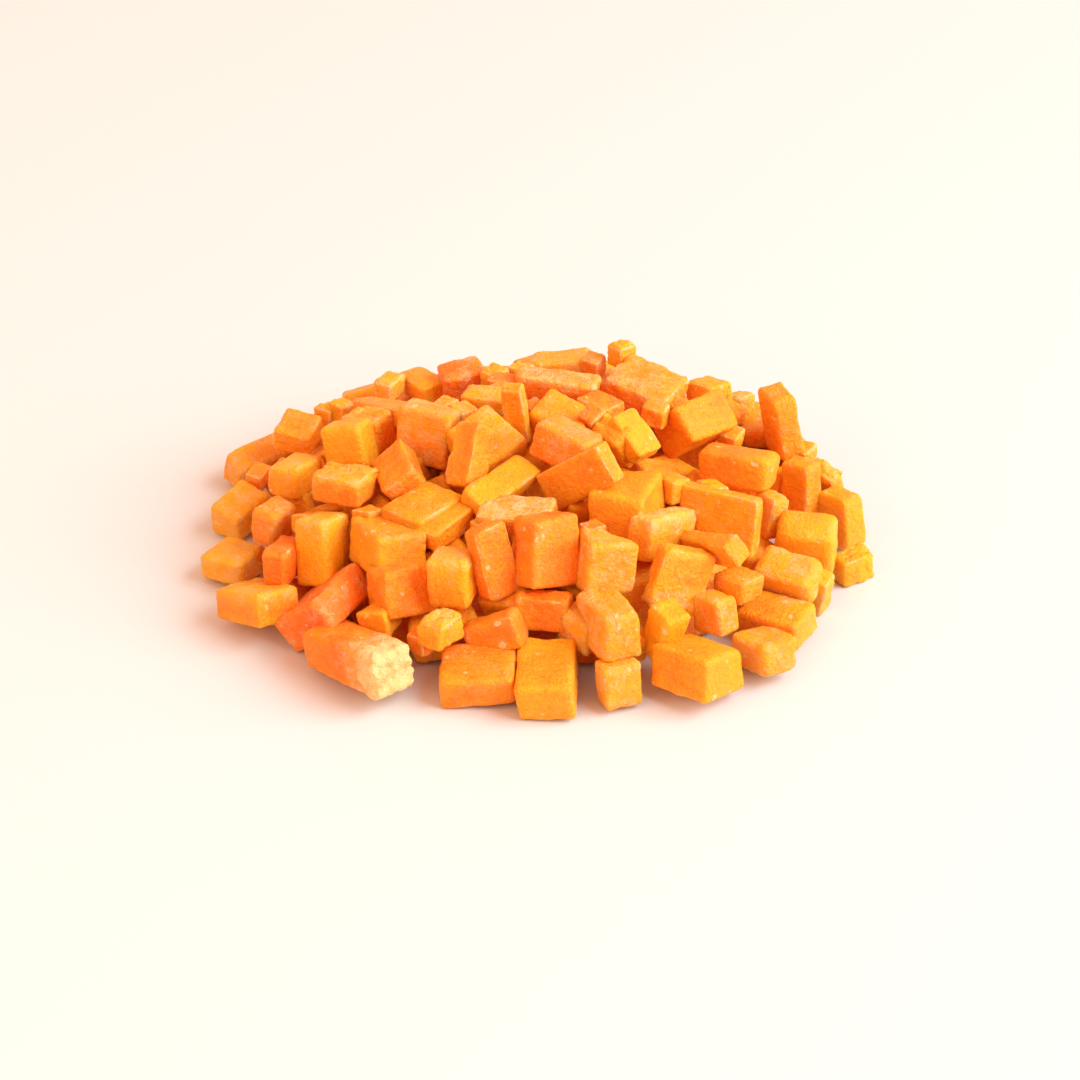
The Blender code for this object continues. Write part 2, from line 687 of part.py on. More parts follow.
def main():
    """Builds the heap."""
    for old in list(bpy.data.objects):
        bpy.data.objects.remove(old)
    parts = bpy.data.collections.new("diced butternut squash")
    loose = bpy.data.collections.new("dice")
    bpy.context.scene.collection.children.link(parts)
    bpy.context.scene.collection.children.link(loose)
    seen, unseen = place_all()
    heap = make_core(parts)
    for number, box in enumerate(seen + unseen):
        shows = number < len(seen) and box.half.max() * 2 > CUT_LEAST
        make_die(box, number, loose, shows)
    union = heap.modifiers.new("dice", "BOOLEAN")
    union.operation = "UNION"
    union.operand_type = "COLLECTION"
    union.collection = loose
    union.solver = "EXACT"
    whole = bpy.data.meshes.new_from_object(heap.evaluated_get(bpy.context.evaluated_depsgraph_get()))
    heap.modifiers.clear()
    for old in list(loose.objects):
        bpy.data.objects.remove(old)
    bpy.data.collections.remove(loose)
    shape = bmesh.new()
    shape.from_mesh(whole)
    keep_largest(shape)
    bmesh.ops.remove_doubles(shape, verts=shape.verts[:], dist=MERGE)
    bmesh.ops.triangulate(shape, faces=shape.faces[:])
    bmesh.ops.translate(shape, verts=shape.verts[:], vec=(-HEAP_MIDDLE[0], -HEAP_MIDDLE[1], 0.0))
    shape.to_mesh(heap.data)
    shape.free()
    heap.data.materials.append(squash_material())
    return heap


if __name__ == "__main__":
    main()
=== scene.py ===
"""The looks of a low heap of frozen diced butternut squash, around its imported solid.

Units are metres, +Z is up and the origin is the middle of the heap's flat underside.
Each die that shows in the photograph is placed from the pixels of its nearest corner and of the ends
of the three edges that leave it, by the same rules as the solid. It is then modelled as a rounded,
uneven and frosted piece of squash. The dice of each way of cutting are one mesh.
"""

import logging
import math
import random
from dataclasses import dataclass, field
from enum import Enum
from itertools import product
from typing import Any, Callable

import bmesh
import bpy
import numpy as np
from mathutils import Matrix


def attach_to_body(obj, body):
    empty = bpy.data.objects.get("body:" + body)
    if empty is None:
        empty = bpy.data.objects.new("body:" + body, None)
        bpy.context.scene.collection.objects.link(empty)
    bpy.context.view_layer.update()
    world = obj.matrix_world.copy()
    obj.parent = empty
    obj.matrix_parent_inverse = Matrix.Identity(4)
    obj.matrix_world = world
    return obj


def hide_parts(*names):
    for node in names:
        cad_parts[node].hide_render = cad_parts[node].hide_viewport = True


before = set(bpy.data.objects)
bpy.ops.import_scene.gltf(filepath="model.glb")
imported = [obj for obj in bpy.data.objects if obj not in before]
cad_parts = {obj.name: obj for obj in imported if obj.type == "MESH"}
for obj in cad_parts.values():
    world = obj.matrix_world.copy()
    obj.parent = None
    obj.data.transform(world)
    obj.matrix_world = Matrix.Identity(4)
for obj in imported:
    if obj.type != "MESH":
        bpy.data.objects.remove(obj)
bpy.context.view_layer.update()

log = logging.getLogger("squash")

NODE = "diced_squash"
BODY = "root"
USUAL_DIE = (0.0165, 0.0145, 0.0135)  # the sides of a usual die
STAND = 0.0001  # the height of the lowest points
SEED_STEP = 1000  # between the random draws of one piece and the next
PARALLEL = 1e-4  # edges whose cross product is shorter than this run the same way
TINY = 1e-9  # stands for nought where something is divided by it


class Form(Enum):
    """How a piece was cut."""

    BLOCK = "square cut"
    WEDGE = "cut on the slant"
    ROUND = "from the outside of the neck"
    TORN = "broken at an end"


class Rest(Enum):
    """What carries a piece."""

    HEAP = "the dice beneath"
    FLOOR = "the surface"


class Tone(Enum):
    """The colour of a piece's flesh, as its place on the ramp from yellow to orange-red."""

    YELLOW = 0.06
    GOLD = 0.30
    ORANGE = 0.52
    DEEP = 0.74


class Frost(Enum):
    """How much pale frost lies on a piece."""

    BARE = 0.0
    THIN = 0.30
    RIMED = 0.62
    WHITE = 1.0
    CREAM = 1.5


# On each piece with a side, that side is made yellower and frostier: on torn dice it is the broken end,
# and on the others, mostly lit tops and right faces, it is partly frost and partly painted light.
class Side(Enum):
    """A side of a piece, by the edge from the corner nearest to the eye that it stands across."""

    LEFT = "at the far end of the left edge"
    RIGHT = "at the far end of the right edge"
    BASE = "at the far end of the edge that runs down"
    NEAR_LEFT = "at the near end of the left edge"
    TOP = "at the near end of the edge that runs down"


@dataclass(frozen=True)
class Die:
    """One piece as the photograph shows it, in pixels of its 1080 x 1080 frame."""

    corner: tuple
    left: tuple
    right: tuple
    down: tuple
    form: Form = Form.BLOCK
    tone: Tone = Tone.GOLD
    frost: Frost = Frost.THIN
    rest: Rest = Rest.HEAP
    side: Side | None = None


@dataclass
class Box:
    """A placed piece: its middle, its three unit axes as rows, half its lengths, and its finish."""

    middle: np.ndarray
    axes: np.ndarray
    half: np.ndarray
    form: Form
    tone: float = Tone.GOLD.value
    frost: float = Frost.THIN.value
    side: Side | None = None

    def corners(self) -> np.ndarray:
        """The eight corners, as rows."""
        signs = np.array(list(product((-1, 1), repeat=3)))
        return self.middle + (signs * self.half) @ self.axes

    def drop(self) -> float:
        """How far the lowest corner lies below the middle."""
        return float((np.abs(self.axes[:, 2]) * self.half).sum())

    def between(self, other: "Box") -> tuple[np.ndarray, np.ndarray]:
        """Unit directions that can tell two boxes apart, and the boxes' joint reach along each."""
        crossed = np.cross(self.axes[:, None, :], other.axes[None, :, :]).reshape(-1, 3)
        tests = np.vstack((self.axes, other.axes, crossed))
        size = np.linalg.norm(tests, axis=1)
        turned = size > PARALLEL
        tests = tests[turned] / size[turned][:, None]
        own = np.abs(tests @ self.axes.T) @ self.half
        return tests, own + np.abs(tests @ other.axes.T) @ other.half

    def facing(self, side: Side) -> "Box":
        """The same box with its axes renamed, so that a side faces along the first of them."""
        x, y, z = self.axes
        turns = {
            Side.LEFT: ((x, y, z), (0, 1, 2)),
            Side.NEAR_LEFT: ((-x, -y, z), (0, 1, 2)),
            Side.RIGHT: ((y, -x, z), (1, 0, 2)),
            Side.BASE: ((z, y, -x), (2, 1, 0)),
            Side.TOP: ((-z, y, x), (2, 1, 0)),
        }
        axes, order = turns[side]
        return Box(
            self.middle, np.array(axes), self.half[list(order)], self.form, self.tone, self.frost, side
        )


B, W, R, T = Form.BLOCK, Form.WEDGE, Form.ROUND, Form.TORN
YELLOW, GOLD, ORANGE, DEEP = Tone.YELLOW, Tone.GOLD, Tone.ORANGE, Tone.DEEP
BARE, THIN, RIMED, WHITE, CREAM = Frost.BARE, Frost.THIN, Frost.RIMED, Frost.WHITE, Frost.CREAM
HEAP, FLOOR = Rest.HEAP, Rest.FLOOR

# For each way of cutting: how wide the rounded edges are, and by how much a copy outgrows its box.
EDGE_MARGIN = {B: 0.0024, W: 0.0024, R: 0.0054, T: 0.0030}
GROWTH = {B: 1.01, W: 1.01, R: 1.05, T: 1.04}

# From the back of the heap to the front, so that each piece rests on those before it.
BACK = [
    Die((329, 413), (321, 410), (338, 408), (329, 422), T, YELLOW, THIN),
    Die((343, 409), (336, 406), (352, 404), (343, 420), T, YELLOW, THIN),
    Die((390, 384), (373, 380), (404, 374), (390, 398), R, YELLOW, RIMED),
    Die((584, 361), (533, 369), (590, 346), (585, 380), R, YELLOW, RIMED),
    Die((596, 364), (588, 362), (602, 358), (598, 380), B, ORANGE, RIMED),
    Die((622, 352), (612, 347), (636, 345), (622, 366), T, YELLOW, THIN),
    Die((664, 401), (608, 376), (690, 377), (657, 425), T, DEEP, RIMED, HEAP, Side.TOP),
    Die((710, 387), (688, 380), (732, 381), (710, 402), R, YELLOW, THIN),
    Die((742, 398), (724, 395), (758, 391), (742, 410), B, GOLD, RIMED),
    Die((494, 377), (482, 370), (505, 371), (494, 388), T, YELLOW, THIN),
    Die((524, 370), (517, 368), (530, 367), (524, 378), T, YELLOW, THIN),
    Die((447, 382), (437, 363), (484, 373), (449, 403), B, DEEP, RIMED),
    Die((422, 388), (398, 372), (444, 380), (424, 404), R, GOLD, THIN),
    Die((398, 410), (350, 396), (428, 404), (399, 424), W, GOLD, THIN),
    Die((515, 384), (488, 380), (522, 374), (515, 394), B, DEEP, THIN),
    Die((594, 387), (521, 379), (600, 376), (592, 408), B, DEEP, WHITE, HEAP, Side.TOP),
    Die((536, 412), (526, 406), (548, 404), (536, 426), B, DEEP, THIN),
    Die((604, 410), (578, 396), (624, 402), (604, 424), B, ORANGE, THIN),
    Die((500, 392), (487, 388), (513, 384), (500, 402), B, ORANGE, RIMED),
    Die((503, 400), (464, 398), (508, 386), (503, 414), B, GOLD, RIMED),
    Die((806, 455), (784, 448), (817, 444), (806, 468), R, YELLOW, THIN),
    Die((680, 412), (671, 407), (690, 404), (680, 422), B, GOLD, THIN),
    Die((592, 424), (583, 416), (603, 414), (592, 438), B, ORANGE, THIN),
]
LEFT_SIDE = [
    Die((307, 441), (273, 432), (321, 415), (307, 458), B, GOLD, THIN),
    Die((368, 425), (340, 418), (392, 412), (374, 456), T, ORANGE, RIMED, HEAP, Side.TOP),
    Die((262, 478), (250, 474), (272, 466), (262, 494), B, ORANGE, THIN),
    Die((245, 473), (224, 455), (300, 446), (243, 496), R, GOLD, RIMED, FLOOR),
    Die((358, 428), (320, 433), (368, 418), (364, 468), R, YELLOW, BARE),
    Die((295, 472), (267, 466), (319, 456), (296, 500), R, GOLD, RIMED, HEAP, Side.TOP),
    Die((236, 523), (207, 508), (268, 494), (238, 546), B, YELLOW, RIMED, FLOOR),
    Die((312, 516), (289, 514), (335, 510), (312, 528), B, GOLD, THIN),
    Die((274, 521), (253, 510), (295, 506), (271, 550), R, ORANGE, RIMED),
    Die((356, 482), (311, 476), (373, 466), (357, 507), T, ORANGE, RIMED, HEAP, Side.TOP),
    Die((301, 590), (291, 584), (313, 583), (302, 612), B, DEEP, THIN, FLOOR),
    Die((238, 566), (197, 556), (263, 547), (239, 590), R, YELLOW, RIMED, FLOOR),
    Die((284, 556), (262, 555), (300, 538), (283, 587), R, DEEP, THIN),
    Die((256, 600), (211, 590), (296, 590), (258, 632), B, GOLD, RIMED, FLOOR, Side.TOP),
]
MIDDLE = [
    Die((444, 408), (430, 404), (457, 398), (447, 422), B, GOLD, RIMED),
    Die((462, 414), (452, 406), (472, 410), (461, 426), B, GOLD, RIMED),
    Die((447, 416), (399, 407), (460, 409), (443, 466), B, GOLD, RIMED),
    Die((521, 392), (501, 394), (524, 382), (526, 440), B, GOLD, RIMED, HEAP, Side.RIGHT),
    Die((566, 432), (530, 414), (588, 406), (566, 446), B, GOLD, THIN),
    Die((570, 432), (546, 420), (586, 424), (570, 446), B, ORANGE, THIN),
    Die((614, 446), (590, 432), (632, 428), (626, 470), T, GOLD, THIN, HEAP, Side.LEFT),
    Die((664, 412), (642, 408), (672, 402), (660, 428), B, ORANGE, THIN),
    Die((484, 466), (446, 432), (523, 437), (486, 484), B, GOLD, RIMED, HEAP, Side.RIGHT),
    Die((412, 469), (387, 494), (424, 485), (399, 438), B, ORANGE, THIN),
    Die((368, 512), (350, 508), (386, 508), (368, 524), B, GOLD, THIN),
    Die((586, 448), (540, 429), (604, 436), (572, 474), B, ORANGE, RIMED),
    Die((466, 483), (445, 478), (484, 486), (481, 429), T, ORANGE, RIMED, HEAP, Side.LEFT),
    Die((418, 522), (381, 506), (462, 496), (420, 538), B, GOLD, THIN),
    Die((640, 456), (618, 417), (661, 443), (634, 463), B, YELLOW, BARE),
    Die((486, 508), (464, 490), (538, 472), (484, 516), B, YELLOW, BARE),
    Die((436, 534), (405, 522), (471, 508), (438, 552), B, GOLD, BARE),
    Die((488, 528), (470, 520), (510, 522), (488, 546), B, GOLD, THIN),
    Die((594, 447), (545, 484), (603, 441), (608, 482), B, GOLD, RIMED, HEAP, Side.RIGHT),
    Die((547, 520), (480, 518), (555, 499), (547, 536), B, ORANGE, WHITE, HEAP, Side.TOP),
    Die((378, 538), (346, 518), (423, 536), (378, 577), B, GOLD, THIN),
    Die((322, 524), (291, 522), (346, 514), (325, 584), B, YELLOW, RIMED, HEAP, Side.TOP),
    Die((592, 530), (579, 524), (606, 525), (592, 542), B, DEEP, THIN),
    Die((535, 524), (514, 518), (578, 518), (538, 586), B, ORANGE, THIN),
    Die((592, 545), (578, 530), (636, 545), (590, 594), W, GOLD, RIMED),
]
RIGHT_SIDE = [
    Die((771, 431), (743, 429), (766, 400), (771, 447), B, GOLD, RIMED),
    Die((772, 404), (760, 388), (796, 399), (790, 456), R, GOLD, THIN),
    Die((735, 420), (720, 402), (745, 410), (733, 429), B, YELLOW, RIMED),
    Die((734, 440), (722, 434), (744, 430), (734, 452), B, GOLD, THIN),
    Die((695, 441), (673, 459), (738, 420), (679, 408), B, GOLD, BARE),
    Die((806, 470), (782, 462), (822, 462), (808, 519), B, GOLD, THIN),
    Die((832, 482), (808, 470), (843, 470), (832, 500), T, GOLD, RIMED, HEAP, Side.TOP),
    Die((672, 484), (648, 470), (690, 480), (670, 505), B, GOLD, THIN),
    Die((712, 488), (697, 480), (725, 487), (712, 498), B, YELLOW, THIN),
    Die((764, 460), (704, 452), (778, 452), (762, 491), R, ORANGE, BARE, HEAP, Side.NEAR_LEFT),
    Die((640, 499), (590, 497), (664, 474), (640, 540), B, GOLD, BARE),
    Die((842, 506), (817, 494), (863, 497), (848, 552), R, YELLOW, THIN),
    Die((774, 502), (757, 490), (790, 500), (768, 540), B, GOLD, RIMED),
    Die((756, 502), (684, 488), (764, 497), (750, 556), B, GOLD, THIN),
    Die((846, 566), (834, 556), (876, 554), (846, 590), T, YELLOW, THIN, FLOOR, Side.RIGHT),
    Die((832, 540), (778, 536), (838, 516), (829, 580), R, YELLOW, THIN),
    Die((826, 590), (816, 584), (834, 578), (823, 619), B, YELLOW, THIN, FLOOR),
    Die((655, 522), (631, 516), (699, 512), (650, 561), B, GOLD, WHITE, HEAP, Side.TOP),
    Die((742, 584), (715, 574), (766, 574), (742, 606), B, ORANGE, THIN),
    Die((722, 549), (672, 538), (738, 534), (738, 569), W, GOLD, THIN),
    Die((792, 628), (738, 616), (816, 604), (796, 657), B, GOLD, RIMED, FLOOR, Side.RIGHT),
    Die((806, 586), (755, 572), (822, 560), (810, 605), R, YELLOW, RIMED),
    Die((668, 552), (659, 545), (714, 562), (655, 604), T, GOLD, WHITE, HEAP, Side.BASE),
    Die((718, 606), (694, 597), (738, 598), (720, 638), R, GOLD, RIMED),
]
FRONT = [
    Die((386, 575), (362, 566), (431, 567), (392, 620), B, ORANGE, THIN),
    Die((384, 616), (355, 614), (408, 600), (389, 642), W, GOLD, THIN, HEAP, Side.RIGHT),
    Die((466, 566), (428, 564), (474, 550), (468, 608), R, GOLD, RIMED, HEAP, Side.TOP),
    Die((475, 539), (468, 536), (504, 524), (491, 601), B, ORANGE, THIN),
    Die((422, 640), (408, 634), (436, 632), (422, 656), B, DEEP, THIN),
    Die((508, 618), (460, 631), (518, 606), (520, 646), B, ORANGE, THIN),
    Die((564, 603), (516, 603), (571, 593), (563, 632), T, DEEP, THIN, HEAP, Side.LEFT),
    Die((441, 630), (418, 622), (463, 616), (441, 652), T, GOLD, RIMED, HEAP, Side.TOP),
    Die((312, 604), (272, 629), (352, 565), (333, 632), B, DEEP, RIMED),
    Die((764, 650), (735, 638), (798, 640), (766, 682), R, GOLD, RIMED, FLOOR),
    Die((372, 660), (293, 633), (409, 646), (374, 699), T, DEEP, CREAM, FLOOR, Side.NEAR_LEFT),
    Die((510, 682), (438, 681), (507, 644), (512, 708), B, ORANGE, THIN, FLOOR),
    Die((570, 692), (516, 692), (569, 641), (572, 721), B, GOLD, BARE, FLOOR),
    Die((604, 674), (594, 664), (641, 665), (608, 716), B, GOLD, RIMED, FLOOR),
    Die((707, 665), (655, 650), (745, 652), (706, 706), B, GOLD, BARE, FLOOR),
    Die((586, 628), (557, 615), (606, 612), (588, 656), T, GOLD, RIMED),
    Die((604, 619), (579, 598), (640, 611), (606, 663), T, GOLD, RIMED),
    Die((668, 624), (652, 605), (691, 618), (655, 664), T, YELLOW, BARE, HEAP, Side.BASE),
]

# Pixels close outside the heap's outline, where the surface shows and no die may stand.
BARE_SPOTS = [
    (195, 610), (205, 636), (240, 648), (263, 664), (283, 690), (330, 708), (365, 714), (426, 712),
    (428, 690), (442, 722), (480, 722), (545, 733), (583, 727), (584, 705), (620, 728), (652, 716),
    (690, 716), (735, 702), (755, 692), (790, 686), (802, 668), (820, 650), (832, 622), (845, 604),
    (880, 596), (884, 572), (874, 540), (872, 505), (868, 482), (850, 462), (832, 450), (822, 440),
    (812, 412), (812, 390), (790, 376), (765, 374), (736, 364), (705, 362), (694, 350), (660, 338),
    (600, 334), (560, 340), (525, 355), (505, 360), (480, 352), (440, 352), (395, 360), (366, 374),
    (338, 388), (318, 400), (285, 402), (262, 422), (240, 436), (218, 446), (214, 478), (200, 508),
    (196, 535), (188, 560),
]


@dataclass(frozen=True)
class Eye:
    """How the photograph sees the heap, with its first origin at a pixel of the frame."""

    frame_middle: float = 540.0
    frame_pixels: float = 1080.0
    heap_width_pixels: float = 678.0
    heap_width: float = 0.186
    origin_pixel: tuple[float, float] = (536.0, 566.0)
    distance: float = 0.95
    elevation: float = math.radians(33.0)
    level: float = 0.018
    sensor: float = 36.0

    @property
    def pixels_per_metre(self) -> float:
        """The scale of the photograph at the origin."""
        return self.heap_width_pixels / self.heap_width

    @property
    def focal_pixels(self) -> float:
        """The lens's focal length in pixels."""
        return self.pixels_per_metre * self.distance

    @property
    def axes(self) -> np.ndarray:
        """The eye's right, up and forward directions, as rows."""
        rise, run = math.sin(self.elevation), math.cos(self.elevation)
        return np.array(((1.0, 0.0, 0.0), (0.0, rise, run), (0.0, run, -rise)))

    @property
    def place(self) -> np.ndarray:
        """Where the eye is."""
        return -self.distance * self.sight(self.origin_pixel)

    def sight(self, pixel: tuple[float, float]) -> np.ndarray:
        """Unit vector from the eye through a pixel of the frame, right and down from its corner."""
        across = pixel[0] - self.frame_middle
        upward = self.frame_middle - pixel[1]
        line = np.array((across, upward, self.focal_pixels)) @ self.axes
        return line / np.linalg.norm(line)

    def growth(self, line: np.ndarray) -> float:
        """How much larger a thing is than it looks along a line, for its distance."""
        way = (self.level - self.place[2]) / line[2]
        return way * float(line @ self.axes[2]) / self.distance

    def add_camera(self, shift: np.ndarray) -> None:
        """Adds the camera at the eye, moved by a shift, and makes it the scene's own."""
        lens = bpy.data.cameras.new("photograph")
        lens.sensor_width = self.sensor
        lens.lens = self.sensor * self.focal_pixels / self.frame_pixels
        camera = bpy.data.objects.new("photograph", lens)
        camera.location = self.place + shift
        camera.rotation_euler = (math.pi / 2 - self.elevation, 0.0, 0.0)
        bpy.context.scene.collection.objects.link(camera)
        bpy.context.scene.camera = camera


@dataclass(frozen=True)
class Mound:
    """The even surface that the middles of the heap's outer dice follow."""

    height: float = 0.040
    half_width: float = 0.083
    half_depth: float = 0.075
    centre_y: float = 0.007
    fall: float = 0.60
    inset_share: float = 0.6

    def height_at(self, x: Any, y: Any, depth: float = 0.0) -> Any:
        """Height of the surface, or of one that lies deeper, over a place or many."""
        half_width = self.half_width - depth * self.inset_share
        half_depth = self.half_depth - depth * self.inset_share
        share = (x / half_width) ** 2 + ((y - self.centre_y) / half_depth) ** 2
        return (self.height - depth) * np.clip(1.0 - share, 0.0, 1.0) ** self.fall


@dataclass
class Heap:
    """Stands every die in its place: those of the photograph, then those between and behind them."""

    eye: Eye = field(default_factory=Eye)
    mound: Mound = field(default_factory=Mound)
    usual: tuple[float, float, float] = USUAL_DIE
    least: float = 0.0055
    most: float = 0.027
    fullness: float = 1.05
    sink: float = 0.0012
    push_most: float = 0.007
    hover_most: float = 0.012
    stand_clear: float = 0.00005
    stand_levels: int = 5
    open_top: float = 0.20
    open_side: float = 0.14
    under_depth: float = 0.0105
    seed: int = 23
    sowings: tuple = ((0.0160, 1.0, 0.0032), (0.0110, 0.72, 0.0046))
    foot_tries: int = 280
    foot_reach: tuple[float, float] = (0.66, 1.0)
    foot_size: tuple[float, float] = (0.75, 1.0)
    foot_depth: float = 0.016
    foot_share_most: float = 0.0058
    row_share: float = 0.87
    back_reach: float = 1.03
    tilt_reach: float = 0.95
    jitter: float = 0.0028
    tilt: float = 26.0
    lowest_depth: float = 0.0225
    rise_steps: int = 10
    sight_grid: tuple[float, ...] = (-0.85, -0.4, 0.0, 0.4, 0.85)
    search_step: float = 0.0004
    search_length: float = 0.34
    search_before: float = 0.16
    size_spread: tuple[float, float] = (0.8, 1.15)
    lean_spread: tuple[float, float] = (0.3, 1.0)
    own_skin: float = 0.001
    near_by: float = 1.4
    middle: tuple[float, float, float] = (0.00083, 0.00687, 0.0)

    def place_all(self) -> tuple[list[Box], list[Box], list[Box]]:
        """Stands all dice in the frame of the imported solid.

        Returns:
            The boxes that the photograph shows, those between and behind them, and those round
            the foot of the far side.
        """
        seen: list[Box] = []
        for die in reversed(BACK + LEFT_SIDE + RIGHT_SIDE + MIDDLE + FRONT):
            seen.append(self.place_seen(die, seen))
        unseen = self.place_unseen(seen)
        foot = self.place_foot(seen, unseen)
        for number, box in enumerate(seen + unseen + foot):
            lift = self.stand_clear * (1.0 + number % self.stand_levels)
            box.middle[2] += max(box.drop() + lift - box.middle[2], 0.0)
            box.middle -= self.middle
        return seen, unseen, foot

    def place_seen(self, die: Die, placed: list[Box]) -> Box:
        """Stands a die of the photograph against those that were placed before it."""
        axes, lengths = self.leaning_axes(die)
        line = self.eye.sight(die.corner)
        half = np.clip(lengths * self.eye.growth(line), self.least, self.most) / 2
        box = Box(np.zeros(3), axes, half, die.form, die.tone.value, die.frost.value, die.side)
        start = self.eye.place + line * (self.eye.distance - self.search_before) + half @ axes
        self.settle(box, start, line, placed, die.rest)
        box.half = box.half * self.fullness
        return box

    def seen_edges(self, die: Die) -> np.ndarray:
        """The three edges of a die on the picture plane, in metres right and up, as rows."""
        corner = np.array(die.corner, float)
        ends = np.array((die.left, die.right, die.down), float)
        return (ends - corner) * (1.0, -1.0) / self.eye.pixels_per_metre

    def leaning_axes(self, die: Die) -> tuple[np.ndarray, np.ndarray]:
        """Axes and lengths of a die from the angles between its edges as they are seen.

        Edges that are square to each other lean away from the eye by slopes whose products are
        the cosines between them, with the sign turned.

        Args:
            die: The die as the photograph shows it.

        Returns:
            Its unit axes as rows, and its three lengths.
        """
        flat = self.seen_edges(die)
        length = np.linalg.norm(flat, axis=1)
        unit = flat / length[:, None]
        top = min(unit[0] @ unit[1], -self.open_top)
        right_side = min(unit[1] @ unit[2], -self.open_side)
        left_side = min(unit[0] @ unit[2], -self.open_side)
        slope = np.sqrt((
            -top * left_side / right_side,
            -top * right_side / left_side,
            -left_side * right_side / top,
        ))
        lines = np.column_stack((unit, slope)) @ self.eye.axes
        reach = np.linalg.norm(lines, axis=1)
        turn, _, back = np.linalg.svd(lines / reach[:, None])
        return turn @ back, length * reach

    def blocked_spans(
        self, box: Box, start: np.ndarray, line: np.ndarray, placed: list[Box]
    ) -> list[tuple[float, float]]:
        """The stretches of a line along which a moving box would cut into placed ones."""
        spans = []
        for other in placed:
            tests, reach = box.between(other)
            reach = np.maximum(reach - self.sink, 0.0)
            offset = tests @ (start - other.middle)
            speed = tests @ line
            speed = np.where(np.abs(speed) < TINY, TINY, speed)
            ends = np.array(((-reach - offset) / speed, (reach - offset) / speed))
            ends = np.sort(ends, axis=0)
            first, last = ends[0].max(), ends[1].min()
            if first < last:
                spans.append((first, last))
        return spans

    def settle(
        self, box: Box, start: np.ndarray, line: np.ndarray, placed: list[Box], rest: Rest
    ) -> None:
        """Moves a box along a line to the layer it belongs to, then on until it is clear of others.

        Args:
            box: The box to place.
            start: Where its middle starts.
            line: The unit direction that it moves along.
            placed: The boxes that stand already.
            rest: What carries it.
        """
        travels = np.arange(0.0, self.search_length, self.search_step)
        middles = start + travels[:, None] * line
        low = box.drop()
        clear = middles[:, 2] - low
        over = middles[:, 2] - self.mound.height_at(middles[:, 0], middles[:, 1])
        if rest is Rest.HEAP:
            clear = np.minimum(clear, over)
        here = int(np.argmax(clear <= 0.0))
        if rest is Rest.HEAP:
            rising = np.flatnonzero((over[1:] > over[:-1]) & (over[:-1] < self.hover_most))
            if len(rising) and rising[0] < here:
                here = int(rising[0])
        travel = travels[here]
        if rest is Rest.HEAP:
            furthest = min(travel + self.push_most, travels[int(np.argmax(middles[:, 2] <= low))])
            spans = self.blocked_spans(box, start, line, placed)
            moved = True
            while moved:
                moved = False
                for first, last in spans:
                    if first < travel < last and travel < furthest:
                        travel = min(last, furthest)
                        moved = True
        box.middle = start + line * travel
        box.middle = box.middle + np.array((0.0, 0.0, max(low - box.middle[2], 0.0)))

    def stands_before(self, box: Box, points: np.ndarray) -> np.ndarray:
        """For each point, whether a box stands between it and the eye."""
        start = box.axes @ (self.eye.place - box.middle)
        way = (points - self.eye.place) @ box.axes.T
        way = np.where(np.abs(way) < TINY, TINY, way)
        reach = np.sort(np.array(((-box.half - start) / way, (box.half - start) / way)), axis=0)
        enter, leave = reach[0].max(axis=1), reach[1].min(axis=1)
        return (enter < leave) & (enter < 1.0 - self.own_skin)

    def covered(self, points: np.ndarray, boxes: list[Box]) -> np.ndarray:
        """For each point, whether any box stands between it and the eye."""
        return np.any([self.stands_before(box, points) for box in boxes], axis=0)

    def hidden(self, box: Box, seen: list[Box]) -> bool:
        """Whether the eye cannot see a box for the boxes before it."""
        ends = box.corners()
        points = np.vstack((ends, (ends[:, None] + ends[None, :]).reshape(-1, 3) / 2))
        return bool(self.covered(points, seen).all())

    def shown_points(self, seen: list[Box]) -> np.ndarray:
        """Points that must stay in sight: on the photograph's dice, and on the bare surface."""
        pairs = list(product(self.sight_grid, repeat=2))
        spots = np.array([np.insert(pair, axis, -1.0) for axis in range(3) for pair in pairs])
        lines = np.array([self.eye.sight(spot) for spot in BARE_SPOTS])
        shown = [self.eye.place - lines * (self.eye.place[2] / lines[:, 2:])]
        for box in seen:
            points = box.middle + (spots * box.half) @ box.axes
            others = [other for other in seen if other is not box]
            shown.append(points[~self.covered(points, others)])
        return np.vstack(shown)

    def crowded(self, box: Box, others: list[Box], share_most: float) -> bool:
        """Whether a box runs too far into another."""
        for other in others:
            if np.linalg.norm(other.middle - box.middle) < self.most * self.near_by:
                tests, reach = box.between(other)
                apart = np.abs(tests @ (box.middle - other.middle))
                if (reach - apart).min() > share_most:
                    return True
        return False

    def drawn_box(
        self, draw: random.Random, x: float, y: float, size: float, lean: float, form: Form
    ) -> Box:
        """A die over a place, its turn drawn at random and leaning outward."""
        half = [side * size * draw.uniform(*self.size_spread) / 2 for side in self.usual]
        draw.shuffle(half)
        bearing = math.atan2(y - self.mound.centre_y, x)
        tilt = math.radians(draw.uniform(*self.lean_spread) * lean)
        turn = (
            Matrix.Rotation(tilt, 3, (-math.sin(bearing), math.cos(bearing), 0.0))
            @ Matrix.Rotation(draw.uniform(0.0, math.pi), 3, "Z")
            @ Matrix.Rotation(math.radians(draw.uniform(-lean, lean)), 3, "X")
        )
        return Box(np.array((x, y, 0.0)), np.array(turn.transposed()), np.array(half), form)

